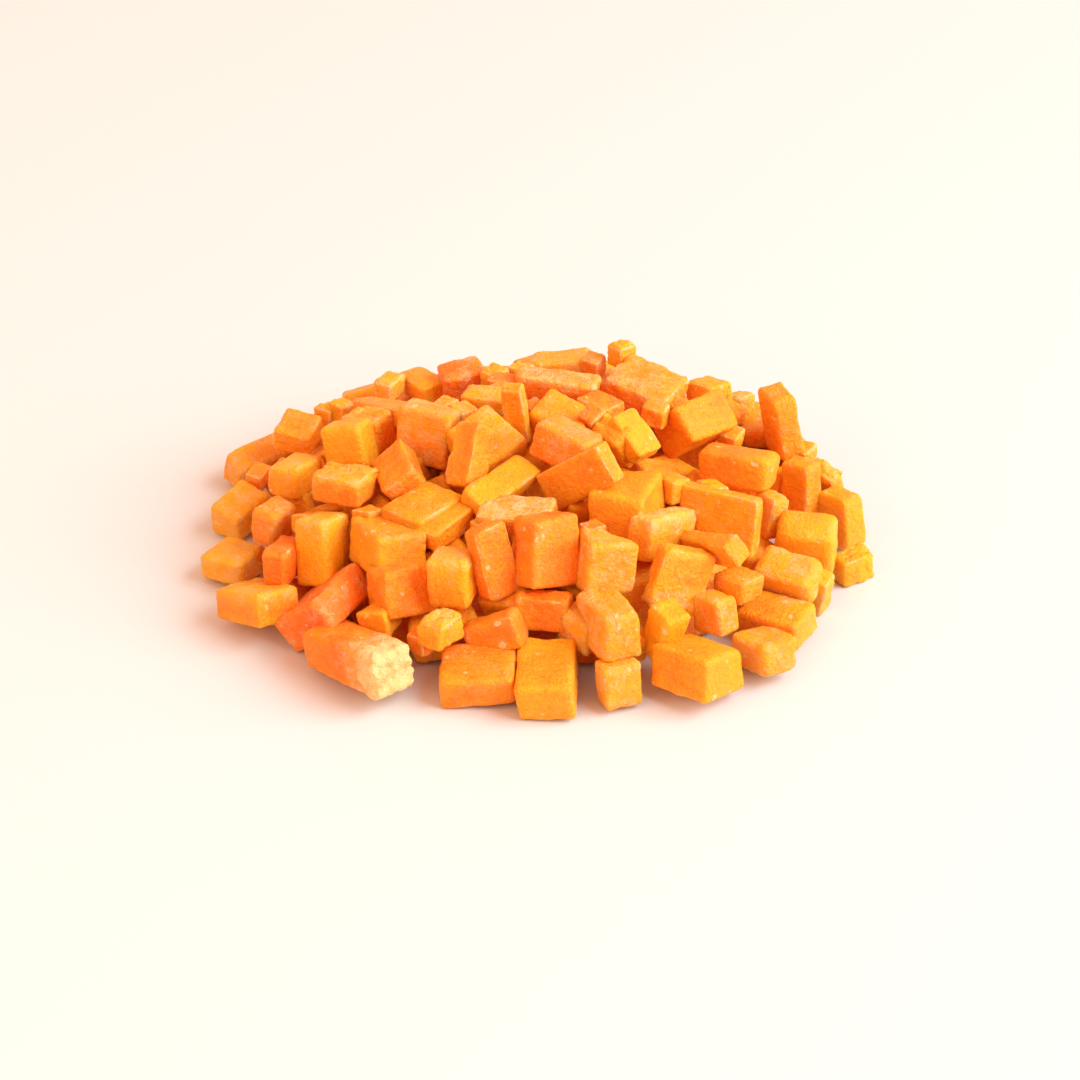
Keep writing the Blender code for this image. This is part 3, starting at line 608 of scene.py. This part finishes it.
    def place_unseen(self, seen: list[Box]) -> list[Box]:
        """Dice on even grids, each raised to the top layer as far as it stays out of sight.

        The small dice of the second sowing stand only where they show in a gap.
        """
        draw = random.Random(self.seed)
        shown = self.shown_points(seen)
        unseen: list[Box] = []
        for spacing, size, share_most in self.sowings:
            rows = int(self.mound.half_depth / spacing) + 2
            columns = int(self.mound.half_width / spacing) + 2
            for row in range(-rows, rows + 1):
                for column in range(-columns, columns + 1):
                    x = (column + 0.5 * (row % 2)) * spacing + draw.uniform(-self.jitter, self.jitter)
                    y = self.mound.centre_y + row * spacing * self.row_share
                    y += draw.uniform(-self.jitter, self.jitter)
                    share = math.hypot(
                        x / self.mound.half_width, (y - self.mound.centre_y) / self.mound.half_depth
                    )
                    lean = self.tilt * (share < self.tilt_reach)
                    box = self.drawn_box(draw, x, y, size, lean, draw.choice((B, B, R, W)))
                    if share > self.back_reach:
                        continue
                    best = self.best_height(box, share_most, seen, unseen, shown)
                    if best is None:
                        continue
                    box.middle[2] = best
                    if size == 1.0 or not self.hidden(box, seen + unseen):
                        unseen.append(box)
        return unseen

    def place_foot(self, seen: list[Box], unseen: list[Box]) -> list[Box]:
        """Dice that fill the steep far side down to the surface, where there is room."""
        draw = random.Random(self.seed)
        shown = self.shown_points(seen)
        foot: list[Box] = []
        for _ in range(self.foot_tries):
            bearing = draw.uniform(0.0, math.pi)
            reach = draw.uniform(*self.foot_reach)
            x = self.mound.half_width * reach * math.cos(bearing)
            y = self.mound.centre_y + self.mound.half_depth * reach * math.sin(bearing)
            size = draw.uniform(*self.foot_size)
            box = self.drawn_box(draw, x, y, size, self.tilt, draw.choice((B, B, R, W)))
            best = self.best_height(box, self.foot_share_most, seen, unseen + foot, shown)
            if best is not None and best > self.mound.height_at(x, y, self.foot_depth):
                box.middle[2] = best
                foot.append(box)
        return foot

    def best_height(
        self, box: Box, share_most: float, seen: list[Box], unseen: list[Box], shown: np.ndarray
    ) -> float | None:
        """The greatest height at which a box covers no shown point and has room.

        Args:
            box: The box, over its place.
            share_most: How far it may run into another.
            seen: The boxes that the photograph shows.
            unseen: The boxes that were drawn before this one.
            shown: The points that must stay in sight.

        Returns:
            The height of its middle, or None where there is no room for it.
        """
        x, y = box.middle[:2]
        low = box.drop()
        best = None
        for depth in np.linspace(self.lowest_depth, 0.0, self.rise_steps):
            box.middle[2] = max(self.mound.height_at(x, y, depth), low)
            if self.stands_before(box, shown).any():
                continue
            out_of_sight = depth >= self.under_depth or self.hidden(box, seen)
            if out_of_sight and not self.crowded(box, seen + unseen, share_most):
                best = box.middle[2]
        return best


class Socket:
    """A value in a material's node tree. Sums on it are written as Python and add Math nodes."""

    def __init__(self, wiring: "Wiring", output: bpy.types.NodeSocket) -> None:
        """Wraps an output socket."""
        self.wiring = wiring
        self.output = output

    def math(self, operation: str, *others: Any) -> "Socket":
        """A Math node on this value and others."""
        return self.wiring.add("ShaderNodeMath", {"operation": operation}, [self, *others])

    def __add__(self, other: Any) -> "Socket":
        """The sum."""
        return self.math("ADD", other)

    __radd__ = __add__

    def __mul__(self, other: Any) -> "Socket":
        """The product."""
        return self.math("MULTIPLY", other)

    def __sub__(self, other: Any) -> "Socket":
        """The difference."""
        return self.math("SUBTRACT", other)

    def __rsub__(self, other: Any) -> "Socket":
        """The difference, from a number."""
        return self.wiring.add("ShaderNodeMath", {"operation": "SUBTRACT"}, [other, self])


class Wiring:
    """Adds nodes to one material's tree."""

    def __init__(self, name: str) -> None:
        """Makes a material with nodes and keeps its Principled shader at hand."""
        self.material = bpy.data.materials.new(name)
        self.material.use_nodes = True
        self.tree = self.material.node_tree
        self.shader = self.tree.nodes["Principled BSDF"]

    def add(
        self, kind: str, settings: dict[str, Any], values: Any = (), output: int = 0
    ) -> Socket:
        """Adds a node.

        Args:
            kind: The node's type.
            settings: What is set on the node itself. The stops of a ramp go under "stops".
            values: Numbers, colours or sockets for its inputs, as a list or by index or name.
            output: Which of its outputs is returned.

        Returns:
            The output, as a value to go on with.
        """
        node = self.tree.nodes.new(kind)
        for key, value in settings.items():
            if key == "stops":
                self.set_stops(node, value)
            else:
                setattr(node, key, value)
        pairs = values.items() if isinstance(values, dict) else enumerate(values)
        for key, value in pairs:
            self.feed(node.inputs[key], value)
        return Socket(self, node.outputs[output])

    def feed(self, target: bpy.types.NodeSocket, value: Any) -> None:
        """Sets an input to a number or colour, or links a value to it."""
        if isinstance(value, Socket):
            self.tree.links.new(value.output, target)
        else:
            target.default_value = value

    @staticmethod
    def set_stops(node: bpy.types.Node, stops: tuple[tuple[float, tuple], ...]) -> None:
        """Gives a colour ramp its stops."""
        elements = node.color_ramp.elements
        while len(elements) < len(stops):
            elements.new(0.5)
        for element, (position, colour) in zip(elements, stops):
            element.position = position
            element.color = (*colour, 1.0)

    def attribute(self, name: str, output: int = 2) -> Socket:
        """A mesh attribute: output 1 is its vector and 2 its number."""
        return self.add("ShaderNodeAttribute", {"attribute_name": name}, output=output)

    def noise(self, where: Socket, scale: float, detail: float = 2.0) -> Socket:
        """Soft noise about 0.5."""
        values = {"Vector": where, "Scale": scale, "Detail": detail}
        return self.add("ShaderNodeTexNoise", {}, values)

    def ripple(self, where: Socket, scale: float, detail: float = 2.0) -> Socket:
        """Soft noise about nought."""
        return self.noise(where, scale, detail) - 0.5

    def stretched(self, where: Socket, scale: tuple[float, float, float]) -> Socket:
        """A place, scaled along its axes."""
        return self.add("ShaderNodeMapping", {}, {"Vector": where, "Scale": scale})

    def blend(self, values: tuple[Socket, ...], weights: tuple[float, ...]) -> Socket:
        """The sum of values, each times its weight."""
        total = values[0] * weights[0]
        for value, weight in zip(values[1:], weights[1:]):
            total = total + value * weight
        return total

    def between(self, value: Socket, low: float, high: float) -> Socket:
        """0 below the low number, 1 above the high one, with a smooth step between them."""
        settings = {"interpolation_type": "SMOOTHSTEP"}
        return self.add("ShaderNodeMapRange", settings, [value, low, high])

    def mix(self, share: Any, first: Any, second: Any) -> Socket:
        """A share of the second colour over the first."""
        return self.add("ShaderNodeMix", {"data_type": "RGBA"}, {0: share, 6: first, 7: second}, 2)

    def ramp(self, value: Socket, stops: tuple[tuple[float, tuple], ...]) -> Socket:
        """The colour at a place on a ramp."""
        return self.add("ShaderNodeValToRGB", {"stops": stops}, [value])

    def set_up(self, values: dict[str, Any]) -> None:
        """Sets or links the shader's own sockets."""
        for key, value in values.items():
            self.feed(self.shader.inputs[key], value)


@dataclass(frozen=True)
class SquashFlesh:
    """The finish of raw frozen flesh: a tone from yellow to orange-red, grain, and pale frost."""

    name: str = "squash flesh"
    tones: tuple = (  # from yellow to orange-red
        (0.00, (1.0, 0.430, 0.016)),
        (0.28, (1.0, 0.350, 0.019)),
        (0.52, (1.0, 0.275, 0.018)),
        (0.76, (1.0, 0.205, 0.014)),
        (1.00, (1.0, 0.150, 0.012)),
    )
    pale: tuple = (1.0, 0.585, 0.265)
    cream: tuple = (1.0, 0.690, 0.290)
    cloud_scale: float = 95.0
    cloud_share: float = 0.80
    mottle_scale: float = 560.0
    mottle_share: float = 0.55
    fibre_scale: float = 700.0
    fibre_stretch: tuple = (0.22, 1.0, 1.0)
    fibre_share: float = 0.35
    speck_scale: float = 2300.0
    speck_share: float = 1.05
    patch_scale: float = 260.0
    # How much paler the tone grows towards every edge: painted light on the rounded edges.
    painted_edge_light: float = 0.14
    # Of edge, patch, mottle, speck and frost.
    rim_mix: tuple[float, ...] = (1.15, 2.4, 1.0, 1.2, 0.3)
    crest_span: tuple[float, float] = (0.74, 0.96)
    rim_span: tuple[float, float] = (0.62, 1.16)
    rim_share: float = 0.70
    # Of frost, patch and mottle.
    veil_mix: tuple[float, ...] = (1.0, 2.4, 1.2)
    veil_span: tuple[float, float] = (0.30, 1.15)
    veil_share: float = 0.30
    # Of frost, patch, mottle and speck.
    dust_mix: tuple[float, ...] = (0.72, 1.3, 0.8, 2.8)
    dust_span: tuple[float, float] = (0.52, 0.92)
    dust_share: float = 0.72
    vein_scale: float = 150.0
    vein_width: float = 0.035
    vein_frost: float = 0.05
    vein_mottle: float = 0.5
    vein_span: tuple[float, float] = (-0.04, 0.10)
    vein_share: float = 0.75
    spot_scale: float = 330.0
    spot_speck: float = 0.12
    spot_span: tuple[float, float] = (0.71, 0.75)
    spot_share: float = 0.95
    pit_scale: float = 1000.0
    pit_speck: float = 0.3
    pit_span: tuple[float, float] = (0.47, 0.60)
    pit_share: float = 0.75
    cream_patch: float = 1.5
    cream_span: tuple[float, float] = (1.08, 1.56)
    cream_share: float = 0.86
    rough_least: float = 0.36
    rough_most: float = 0.62
    bump_scale: float = 900.0
    # Of the bumps, fibre and speck, and of speck where there is frost.
    bump_mix: tuple[float, ...] = (0.5, 0.35, 0.25, 0.5)
    bump_strength: float = 0.85
    bump_height: float = 0.0012
    ior: float = 1.36
    gloss: float = 0.30
    glow: float = 0.45
    glow_radius: tuple = (1.0, 0.22, 0.05)
    glow_scale: float = 0.0022

    def dress(self) -> bpy.types.Material:
        """Makes the material."""
        wiring = Wiring(self.name)
        grain = wiring.attribute("grain", 1)
        tone = wiring.attribute("tone")
        frost = wiring.attribute("frost")
        edge = wiring.attribute("edge")
        cloud = wiring.ripple(grain, self.cloud_scale)
        mottle = wiring.ripple(grain, self.mottle_scale, detail=4.0)
        fibres = wiring.stretched(grain, self.fibre_stretch)
        fibre = wiring.ripple(fibres, self.fibre_scale, detail=3.0)
        speck = wiring.ripple(grain, self.speck_scale)
        patch = wiring.ripple(grain, self.patch_scale, detail=3.0)
        place = tone + cloud * self.cloud_share + fibre * self.fibre_share
        place = place + mottle * self.mottle_share + speck * self.speck_share
        # Painted light: the tone grows paler towards every edge.
        place = place - edge * self.painted_edge_light
        flesh = wiring.ramp(place, self.tones)
        crest = wiring.between(edge, *self.crest_span)
        rim = wiring.blend((crest, patch, mottle, speck, frost), self.rim_mix)
        rim = wiring.between(rim, *self.rim_span) * self.rim_share
        veil = wiring.blend((frost, patch, mottle), self.veil_mix)
        veil = wiring.between(veil, *self.veil_span) * self.veil_share
        dust = wiring.blend((frost, patch, mottle, speck), self.dust_mix)
        dust = wiring.between(dust, *self.dust_span) * self.dust_share
        vein = wiring.ripple(grain, self.vein_scale, detail=3.0).math("ABSOLUTE")
        vein = wiring.between(vein + (0.5 - frost) * self.vein_frost, self.vein_width, 0.0)
        broken = wiring.between(patch + mottle * self.vein_mottle, *self.vein_span)
        vein = vein * broken * frost * self.vein_share
        spot = wiring.noise(grain, self.spot_scale, detail=1.0) + speck * self.spot_speck
        spot = wiring.between(spot, *self.spot_span) * self.spot_share
        creamy = wiring.between(frost + patch * self.cream_patch, *self.cream_span)
        pits = wiring.noise(grain, self.pit_scale) + speck * self.pit_speck
        pits = wiring.between(pits, *self.pit_span) * (1.0 - creamy) * self.pit_share
        rime = dust.math("MAXIMUM", veil) * (1.0 - pits)
        for layer in (rim, vein, spot, creamy * self.cream_share):
            rime = rime.math("MAXIMUM", layer)
        frosted = wiring.mix(creamy, (*self.pale, 1.0), (*self.cream, 1.0))
        rough = self.rough_least + rime * (self.rough_most - self.rough_least)
        bump, fibre_bump, speck_bump, rime_bump = self.bump_mix
        relief = wiring.noise(grain, self.bump_scale, detail=3.0) * bump + fibre * fibre_bump
        relief = relief + speck * (speck_bump + rime * rime_bump)
        normal = wiring.add(
            "ShaderNodeBump", {},
            {"Height": relief, "Strength": self.bump_strength, "Distance": self.bump_height},
        )
        wiring.set_up({
            "Base Color": wiring.mix(rime, flesh, frosted),
            "Roughness": rough,
            "Normal": normal,
            "Metallic": 0.0,
            "IOR": self.ior,
            "Specular IOR Level": self.gloss,
            "Subsurface Weight": self.glow,
            "Subsurface Radius": self.glow_radius,
            "Subsurface Scale": self.glow_scale,
        })
        return wiring.material


@dataclass(frozen=True)
class FloorFinish:
    """The floor's plain pale paint."""

    name: str = "pale floor"
    colour: tuple = (0.77, 0.745, 0.69)
    rough: float = 0.55

    def dress(self) -> bpy.types.Material:
        """Makes the material."""
        wiring = Wiring(self.name)
        wiring.set_up({"Base Color": (*self.colour, 1.0), "Roughness": self.rough})
        return wiring.material


def deselect() -> None:
    """Leaves edit mode and deselects everything."""
    if bpy.context.object and bpy.context.object.mode != "OBJECT":
        bpy.ops.object.mode_set(mode="OBJECT")
    bpy.ops.object.select_all(action="DESELECT")


def select_only(piece: bpy.types.Object) -> None:
    """Leaves edit mode and selects one piece alone."""
    deselect()
    piece.select_set(True)
    bpy.context.view_layer.objects.active = piece


def start_editing(piece: bpy.types.Object) -> None:
    """Selects one piece alone and goes into edit mode."""
    select_only(piece)
    bpy.ops.object.mode_set(mode="EDIT")


def select_where(piece: bpy.types.Object, kind: str, test: Callable[[Any], bool]) -> None:
    """Selects a piece's vertices, edges or faces by a test, in edit mode.

    Args:
        piece: The piece that is being edited.
        kind: "VERT", "EDGE" or "FACE".
        test: Says whether a bmesh element is selected.
    """
    bpy.ops.mesh.select_mode(type=kind)
    bpy.ops.mesh.select_all(action="DESELECT")
    shape = bmesh.from_edit_mesh(piece.data)
    elements = {"VERT": shape.verts, "EDGE": shape.edges, "FACE": shape.faces}[kind]
    for element in elements:
        element.select_set(test(element))
    bmesh.update_edit_mesh(piece.data)


def apply_modifier(piece: bpy.types.Object, name: str, kind: str, **settings: Any) -> None:
    """Adds a modifier to a piece and applies it."""
    select_only(piece)
    modifier = piece.modifiers.new(name, kind)
    for key, value in settings.items():
        setattr(modifier, key, value)
    bpy.ops.object.modifier_apply(modifier=modifier.name)


def points_of(mesh: bpy.types.Mesh) -> np.ndarray:
    """A mesh's vertices, as rows."""
    flat = np.empty(len(mesh.vertices) * 3, np.float32)
    mesh.vertices.foreach_get("co", flat)
    return flat.reshape(-1, 3).astype(float)


def set_points(mesh: bpy.types.Mesh, points: np.ndarray) -> None:
    """Moves a mesh's vertices."""
    mesh.vertices.foreach_set("co", points.astype(np.float32).ravel())
    mesh.update()


def finish_surface(piece: bpy.types.Object, lowest: float) -> None:
    """Levels a piece's underside at a height and smooths its shading."""
    points = points_of(piece.data)
    points[:, 2] = np.maximum(points[:, 2], lowest)
    set_points(piece.data, points)
    select_only(piece)
    bpy.ops.object.shade_smooth()


def set_attribute(mesh: bpy.types.Mesh, name: str, values: np.ndarray) -> None:
    """Gives each vertex of a mesh a number or a vector."""
    if values.ndim == 1:
        layer = mesh.attributes.new(name, "FLOAT", "POINT")
        layer.data.foreach_set("value", values.astype(np.float32))
    else:
        layer = mesh.attributes.new(name, "FLOAT_VECTOR", "POINT")
        layer.data.foreach_set("vector", values.astype(np.float32).ravel())


@dataclass
class DieCutter:
    """Models one die for each way of cutting, from which all others are copied."""

    size: tuple[float, float, float] = USUAL_DIE
    edge_round: float = 0.0013
    outside_round: float = 0.0036
    long_edge: float = 0.004
    wedge_taper: float = 0.1
    tears: tuple = ((0.34, -0.0005), (0.26, 0.0004), (0.20, -0.0004))
    torn_from: float = 0.45
    seed: int = 5
    voxel: float = 0.00075

    def block(
        self, name: str, round_by: float, segments: int, cuts: int, taper: float = 1.0
    ) -> bpy.types.Object:
        """A square die with rounded edges.

        Args:
            name: The object's name.
            round_by: The radius of its edges.
            segments: The number of faces round each edge.
            cuts: The number of cuts along each edge.
            taper: Where on the way from the middle one of its edges stands, for a slanting cut.

        Returns:
            The new object.
        """
        deselect()
        bpy.ops.mesh.primitive_cube_add(size=1.0, scale=self.size)
        piece = bpy.context.object
        piece.name = name
        start_editing(piece)
        if taper < 1.0:
            select_where(piece, "VERT", lambda v: v.co.x > 0 and v.co.y > 0)
            inward = -self.size[1] / 2 * (1.0 - taper)
            bpy.ops.transform.translate(value=(0.0, inward, 0.0))
        bpy.ops.mesh.select_all(action="SELECT")
        bpy.ops.mesh.bevel(
            offset=round_by, offset_type="OFFSET", segments=segments, profile=0.5, affect="EDGES"
        )
        select_where(piece, "EDGE", lambda e: e.calc_length() > self.long_edge)
        bpy.ops.mesh.subdivide(number_cuts=cuts)
        bpy.ops.mesh.select_all(action="SELECT")
        bpy.ops.mesh.vertices_smooth(factor=0.5, repeat=1)
        deselect()
        return piece

    def clean(self) -> bpy.types.Object:
        """A die cut square on all sides."""
        return self.block("clean_die", self.edge_round, segments=3, cuts=11)

    def slanted(self) -> bpy.types.Object:
        """A die with one side cut on the slant."""
        return self.block("slanted_die", self.edge_round, segments=3, cuts=10, taper=self.wedge_taper)

    def rounded(self) -> bpy.types.Object:
        """A die from the outside of the neck, worn round."""
        return self.block("rounded_die", self.outside_round, segments=6, cuts=6)

    @staticmethod
    def order_of(face: bmesh.types.BMFace) -> tuple[float, ...]:
        """Where a face stands, by which faces are gone through in the same order in every run."""
        return tuple(round(value, 6) for value in face.calc_center_median())

    def torn(self) -> bpy.types.Object:
        """A die that broke off at the side along +X, with ragged bits left standing there."""
        piece = self.block("torn_die", self.edge_round, segments=2, cuts=7)
        draw = random.Random(self.seed)
        reach = self.size[0] / 2
        start_editing(piece)
        for share, depth in self.tears:
            chosen = {}
            shape = bmesh.from_edit_mesh(piece.data)
            for face in sorted(shape.faces, key=self.order_of):
                along = face.calc_center_median().x / reach
                chosen[face.index] = along > self.torn_from and draw.random() < share * along
            select_where(piece, "FACE", lambda f: chosen[f.index])
            bpy.ops.mesh.extrude_region_shrink_fatten(TRANSFORM_OT_shrink_fatten={"value": depth})
            bpy.ops.mesh.select_all(action="SELECT")
            bpy.ops.mesh.normals_make_consistent(inside=False)
        deselect()
        apply_modifier(piece, "fuse", "REMESH", mode="VOXEL", voxel_size=self.voxel)
        apply_modifier(piece, "wear", "SMOOTH", factor=0.5, iterations=2)
        return piece


@dataclass(frozen=True)
class Relief:
    """One layer of unevenness: the size of its bumps, their height, and where it counts."""

    name: str
    size: float
    height: float
    group: str = ""
    mid_level: float = 0.5

    def press(self, piece: bpy.types.Object) -> None:
        """Displaces a piece's surface by this layer."""
        texture = bpy.data.textures.new(self.name, "CLOUDS")
        texture.noise_scale = self.size
        apply_modifier(
            piece, self.name, "DISPLACE", texture=texture, texture_coords="LOCAL",
            strength=self.height, mid_level=self.mid_level, vertex_group=self.group,
        )


RELIEFS = (
    Relief("waviness", 0.0060, 0.00085),
    Relief("knife marks", 0.0026, 0.00045),
    Relief("crumbs", 0.0013, 0.00060, "rime"),
    Relief("tears", 0.0036, 0.0018, "torn"),
    Relief("shreds", 0.0014, 0.0006, "torn"),
)


@dataclass
class DiceKind:
    """All dice of one kind, as one piece: copies of one die, each fitted to its own box."""

    name: str
    masters: dict[Form, bpy.types.Object]
    margin: dict[Form, float]
    growth: dict[Form, float]
    seed: int
    usual: tuple[float, float, float] = USUAL_DIE
    corner_shift: float = 0.00080
    swell: float = 0.00040
    edge_width: float = 0.0014
    # side_shift, side_frost and side_from make a piece's chosen side yellower and frostier: partly
    # frost and broken flesh, partly painted light on lit tops and right faces.
    side_shift: float = 0.30
    side_frost: float = 0.2
    side_from: float = -0.1
    tone_spread: float = 0.07
    torn_least: float = 0.3
    shift_share: float = 0.14
    margin_most: float = 0.5

    def fit(self, points: np.ndarray, box: Box) -> np.ndarray:
        """Stretches a die to a box's lengths and leaves the rounding of its edges as it is."""
        own = np.array(self.usual) / 2
        margin = np.full(3, self.margin[box.form])
        kept = np.minimum(margin, box.half * self.margin_most)
        reach = np.abs(points)
        inner = reach * (box.half - kept) / (own - margin)
        outer = box.half - (own - reach) * kept / margin
        return np.sign(points) * np.where(reach > own - margin, outer, inner)

    def loosen(self, local: np.ndarray, box: Box, draw: np.random.Generator) -> np.ndarray:
        """Shifts a die's corners and swells its faces a little, so that no two are alike."""
        share = np.clip(local / box.half, -1.0, 1.0)
        limit = min(self.corner_shift, box.half.min() * self.shift_share)
        moved = np.zeros_like(local)
        for sign in product((-1, 1), repeat=3):
            weight = np.prod((1.0 + share * sign) / 2, axis=1)
            moved += weight[:, None] * draw.uniform(-limit, limit, 3)
        for axis in range(3):
            others = [a for a in range(3) if a != axis]
            crown = np.prod(1.0 - share[:, others] ** 2, axis=1)
            near, far = draw.uniform(-self.swell, self.swell, 2)
            moved[:, axis] += crown * np.where(share[:, axis] > 0, far, near) * np.abs(share[:, axis])
        return local + moved

    def copy_to(self, box: Box, number: int) -> bpy.types.Object:
        """Copies a die into a box, with its own mesh and what its finish reads."""
        if box.side is not None:
            box = box.facing(box.side)
        draw = np.random.default_rng(self.seed + number)
        box.half = box.half * self.growth[box.form]
        mesh = self.masters[box.form].data.copy()
        local = self.fit(points_of(mesh), box)
        apart = np.sort(box.half - np.abs(local), axis=1)[:, 1]
        share = local[:, 0] / box.half[0]
        end = np.zeros(len(local))
        if box.side is not None:
            end = np.clip((share - self.side_from) / (1.0 + self.side_from), 0.0, 1.0)
        # Painted light in part: the chosen side, often a lit top or right face, turns yellower and
        # frostier.
        tone = box.tone + draw.uniform(-self.tone_spread, self.tone_spread) - end * self.side_shift
        frost = box.frost * (self.side_frost + (1.0 - self.side_frost) * end if box.side else 1.0)
        frost = np.full(len(local), frost)
        set_attribute(mesh, "edge", np.exp(-((apart / self.edge_width) ** 2)))
        set_attribute(mesh, "tone", tone)
        set_attribute(mesh, "frost", frost)
        set_attribute(mesh, "grain", local + draw.uniform(-1.0, 1.0, 3))
        set_points(mesh, self.loosen(local, box, draw) @ box.axes + box.middle)
        if np.linalg.det(box.axes) < 0:
            mesh.flip_normals()
        copy = bpy.data.objects.new(f"{self.name}_{number:03d}", mesh)
        bpy.context.scene.collection.objects.link(copy)
        torn = self.torn_least + (1.0 - self.torn_least) * end
        self.mark(copy, "torn", torn * (box.form is Form.TORN))
        self.mark(copy, "rime", np.clip(frost, 0.0, 1.0))
        return copy

    def mark(self, copy: bpy.types.Object, name: str, weights: np.ndarray) -> None:
        """Writes weights to a vertex group, in tenths."""
        group = copy.vertex_groups.new(name=name)
        tenths = np.rint(weights * 10).astype(int)
        for tenth in range(1, 11):
            chosen = np.flatnonzero(tenths == tenth)
            if len(chosen):
                group.add(chosen.tolist(), tenth / 10, "REPLACE")

    def build(self, boxes: list[Box]) -> bpy.types.Object:
        """Copies the die to each box, joins the copies and gives them their unevenness."""
        copies = [self.copy_to(box, number) for number, box in enumerate(boxes)]
        deselect()
        for copy in copies:
            copy.select_set(True)
        bpy.context.view_layer.objects.active = copies[0]
        bpy.ops.object.join()
        piece = bpy.context.object
        piece.name = self.name
        for relief in RELIEFS:
            relief.press(piece)
        finish_surface(piece, STAND)
        return piece


@dataclass
class Core:
    """The mound of squash inside the heap, which shows only deep between the dice."""

    mound: Mound = field(default_factory=Mound)
    depth: float = 0.0185
    inset: float = 0.0175
    segments: int = 72
    rings: int = 36
    bottom: float = 0.0006
    lumps: Relief = Relief("lumps", 0.006, 0.005, mid_level=0.7)
    # Deep orange and bare of frost: partly the squash's own colour, partly painted shade deep between
    # the dice.
    tone: float = 0.70

    def build(self, shift: tuple[float, float, float]) -> bpy.types.Object:
        """Models the mound, moved back by the middle of the heap's outline."""
        deselect()
        half = (self.mound.half_width - self.inset, self.mound.half_depth - self.inset)
        centre = (-shift[0], self.mound.centre_y - shift[1], 0.0)
        bpy.ops.mesh.primitive_uv_sphere_add(
            segments=self.segments, ring_count=self.rings, radius=1.0, location=centre
        )
        piece = bpy.context.object
        piece.name = "core_mound"
        bpy.ops.object.transform_apply(location=True, rotation=True, scale=True)
        start_editing(piece)
        bpy.ops.mesh.select_all(action="SELECT")
        bpy.ops.transform.resize(
            value=(*half, self.mound.height - self.depth), center_override=centre
        )
        bpy.ops.mesh.bisect(
            plane_co=(0.0, 0.0, self.bottom), plane_no=(0.0, 0.0, -1.0), use_fill=True, clear_outer=True
        )
        self.lumps.press(piece)
        finish_surface(piece, self.bottom)
        points = points_of(piece.data)
        # The core's deep tone with no frost is partly painted shade in the gaps between the dice.
        for name, value in (("edge", 0.0), ("tone", self.tone), ("frost", 0.0)):
            set_attribute(piece.data, name, np.full(len(points), value))
        set_attribute(piece.data, "grain", points)
        return piece


@dataclass
class Studio:
    """The plain pale floor and soft light round the heap."""

    floor_size: float = 8.0
    sky: float = 0.94
    sky_colour: tuple = (1.0, 0.57, 0.42)
    key_colour: tuple = (0.68, 1.0, 1.15)
    key_place: tuple = (2.28, -0.61, 1.85)
    key_size: float = 2.6
    key_power: float = 132.0
    fill_place: tuple = (-1.0, -0.9, 0.9)
    fill_size: float = 1.2
    fill_power: float = 7.0
    fill_colour: tuple = (1.0, 0.80, 0.62)

    def add_floor(self) -> None:
        """Adds the floor, well past the view on all sides."""
        deselect()
        bpy.ops.mesh.primitive_grid_add(x_subdivisions=8, y_subdivisions=8, size=self.floor_size)
        floor = bpy.context.object
        floor.name = "floor"
        floor.data.materials.append(FloorFinish().dress())

    def add_lamp(self, name: str, place: tuple, size: float, power: float, colour: tuple) -> None:
        """Adds a square soft lamp that points at the heap."""
        light = bpy.data.lights.new(name, "AREA")
        light.color = colour
        light.size = size
        light.energy = power
        lamp = bpy.data.objects.new(name, light)
        lamp.location = place
        away = lamp.location.normalized()
        lamp.rotation_euler = away.to_track_quat("Z", "Y").to_euler()
        bpy.context.scene.collection.objects.link(lamp)

    def build(self) -> None:
        """Adds floor, lamps and sky, and shows colours as they are."""
        self.add_floor()
        self.add_lamp("key", self.key_place, self.key_size, self.key_power, self.key_colour)
        self.add_lamp("fill", self.fill_place, self.fill_size, self.fill_power, self.fill_colour)
        world = bpy.data.worlds.new("studio")
        world.use_nodes = True
        backdrop = world.node_tree.nodes["Background"]
        backdrop.inputs["Color"].default_value = (*self.sky_colour, 1.0)
        backdrop.inputs["Strength"].default_value = self.sky
        bpy.context.scene.world = world
        bpy.context.scene.view_settings.view_transform = "Standard"


def attach(piece: bpy.types.Object, material: bpy.types.Material) -> None:
    """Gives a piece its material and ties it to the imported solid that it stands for."""
    piece.data.materials.clear()
    piece.data.materials.append(material)
    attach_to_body(piece, BODY)
    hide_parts(NODE)
    faces = sum(len(polygon.vertices) - 2 for polygon in piece.data.polygons)
    log.info("%s: %d triangles", piece.name, faces)


def main() -> None:
    """Builds the heap and the studio."""
    logging.basicConfig(level=logging.INFO, format="%(name)s: %(message)s")
    heap = Heap()
    heap.eye.add_camera(-np.array(heap.middle))
    Studio().build()
    seen, unseen, foot = heap.place_all()
    log.info("%d dice that show, %d behind, %d at the foot", len(seen), len(unseen), len(foot))
    cutter = DieCutter()
    masters = {B: cutter.clean(), W: cutter.slanted(), R: cutter.rounded(), T: cutter.torn()}
    flesh = SquashFlesh().dress()
    names = {B: "clean_cut_dice", W: "slant_cut_dice", R: "round_side_dice", T: "torn_dice"}
    kinds = {name: [box for box in seen if box.form is form] for form, name in names.items()}
    kinds |= {"far_side_dice": unseen, "far_foot_dice": foot}
    for number, (name, boxes) in enumerate(kinds.items()):
        kind = DiceKind(name, masters, EDGE_MARGIN, GROWTH, seed=SEED_STEP * number)
        attach(kind.build(boxes), flesh)
    attach(Core().build(heap.middle), flesh)
    for master in masters.values():
        bpy.data.objects.remove(master)


if __name__ == "__main__":
    main()
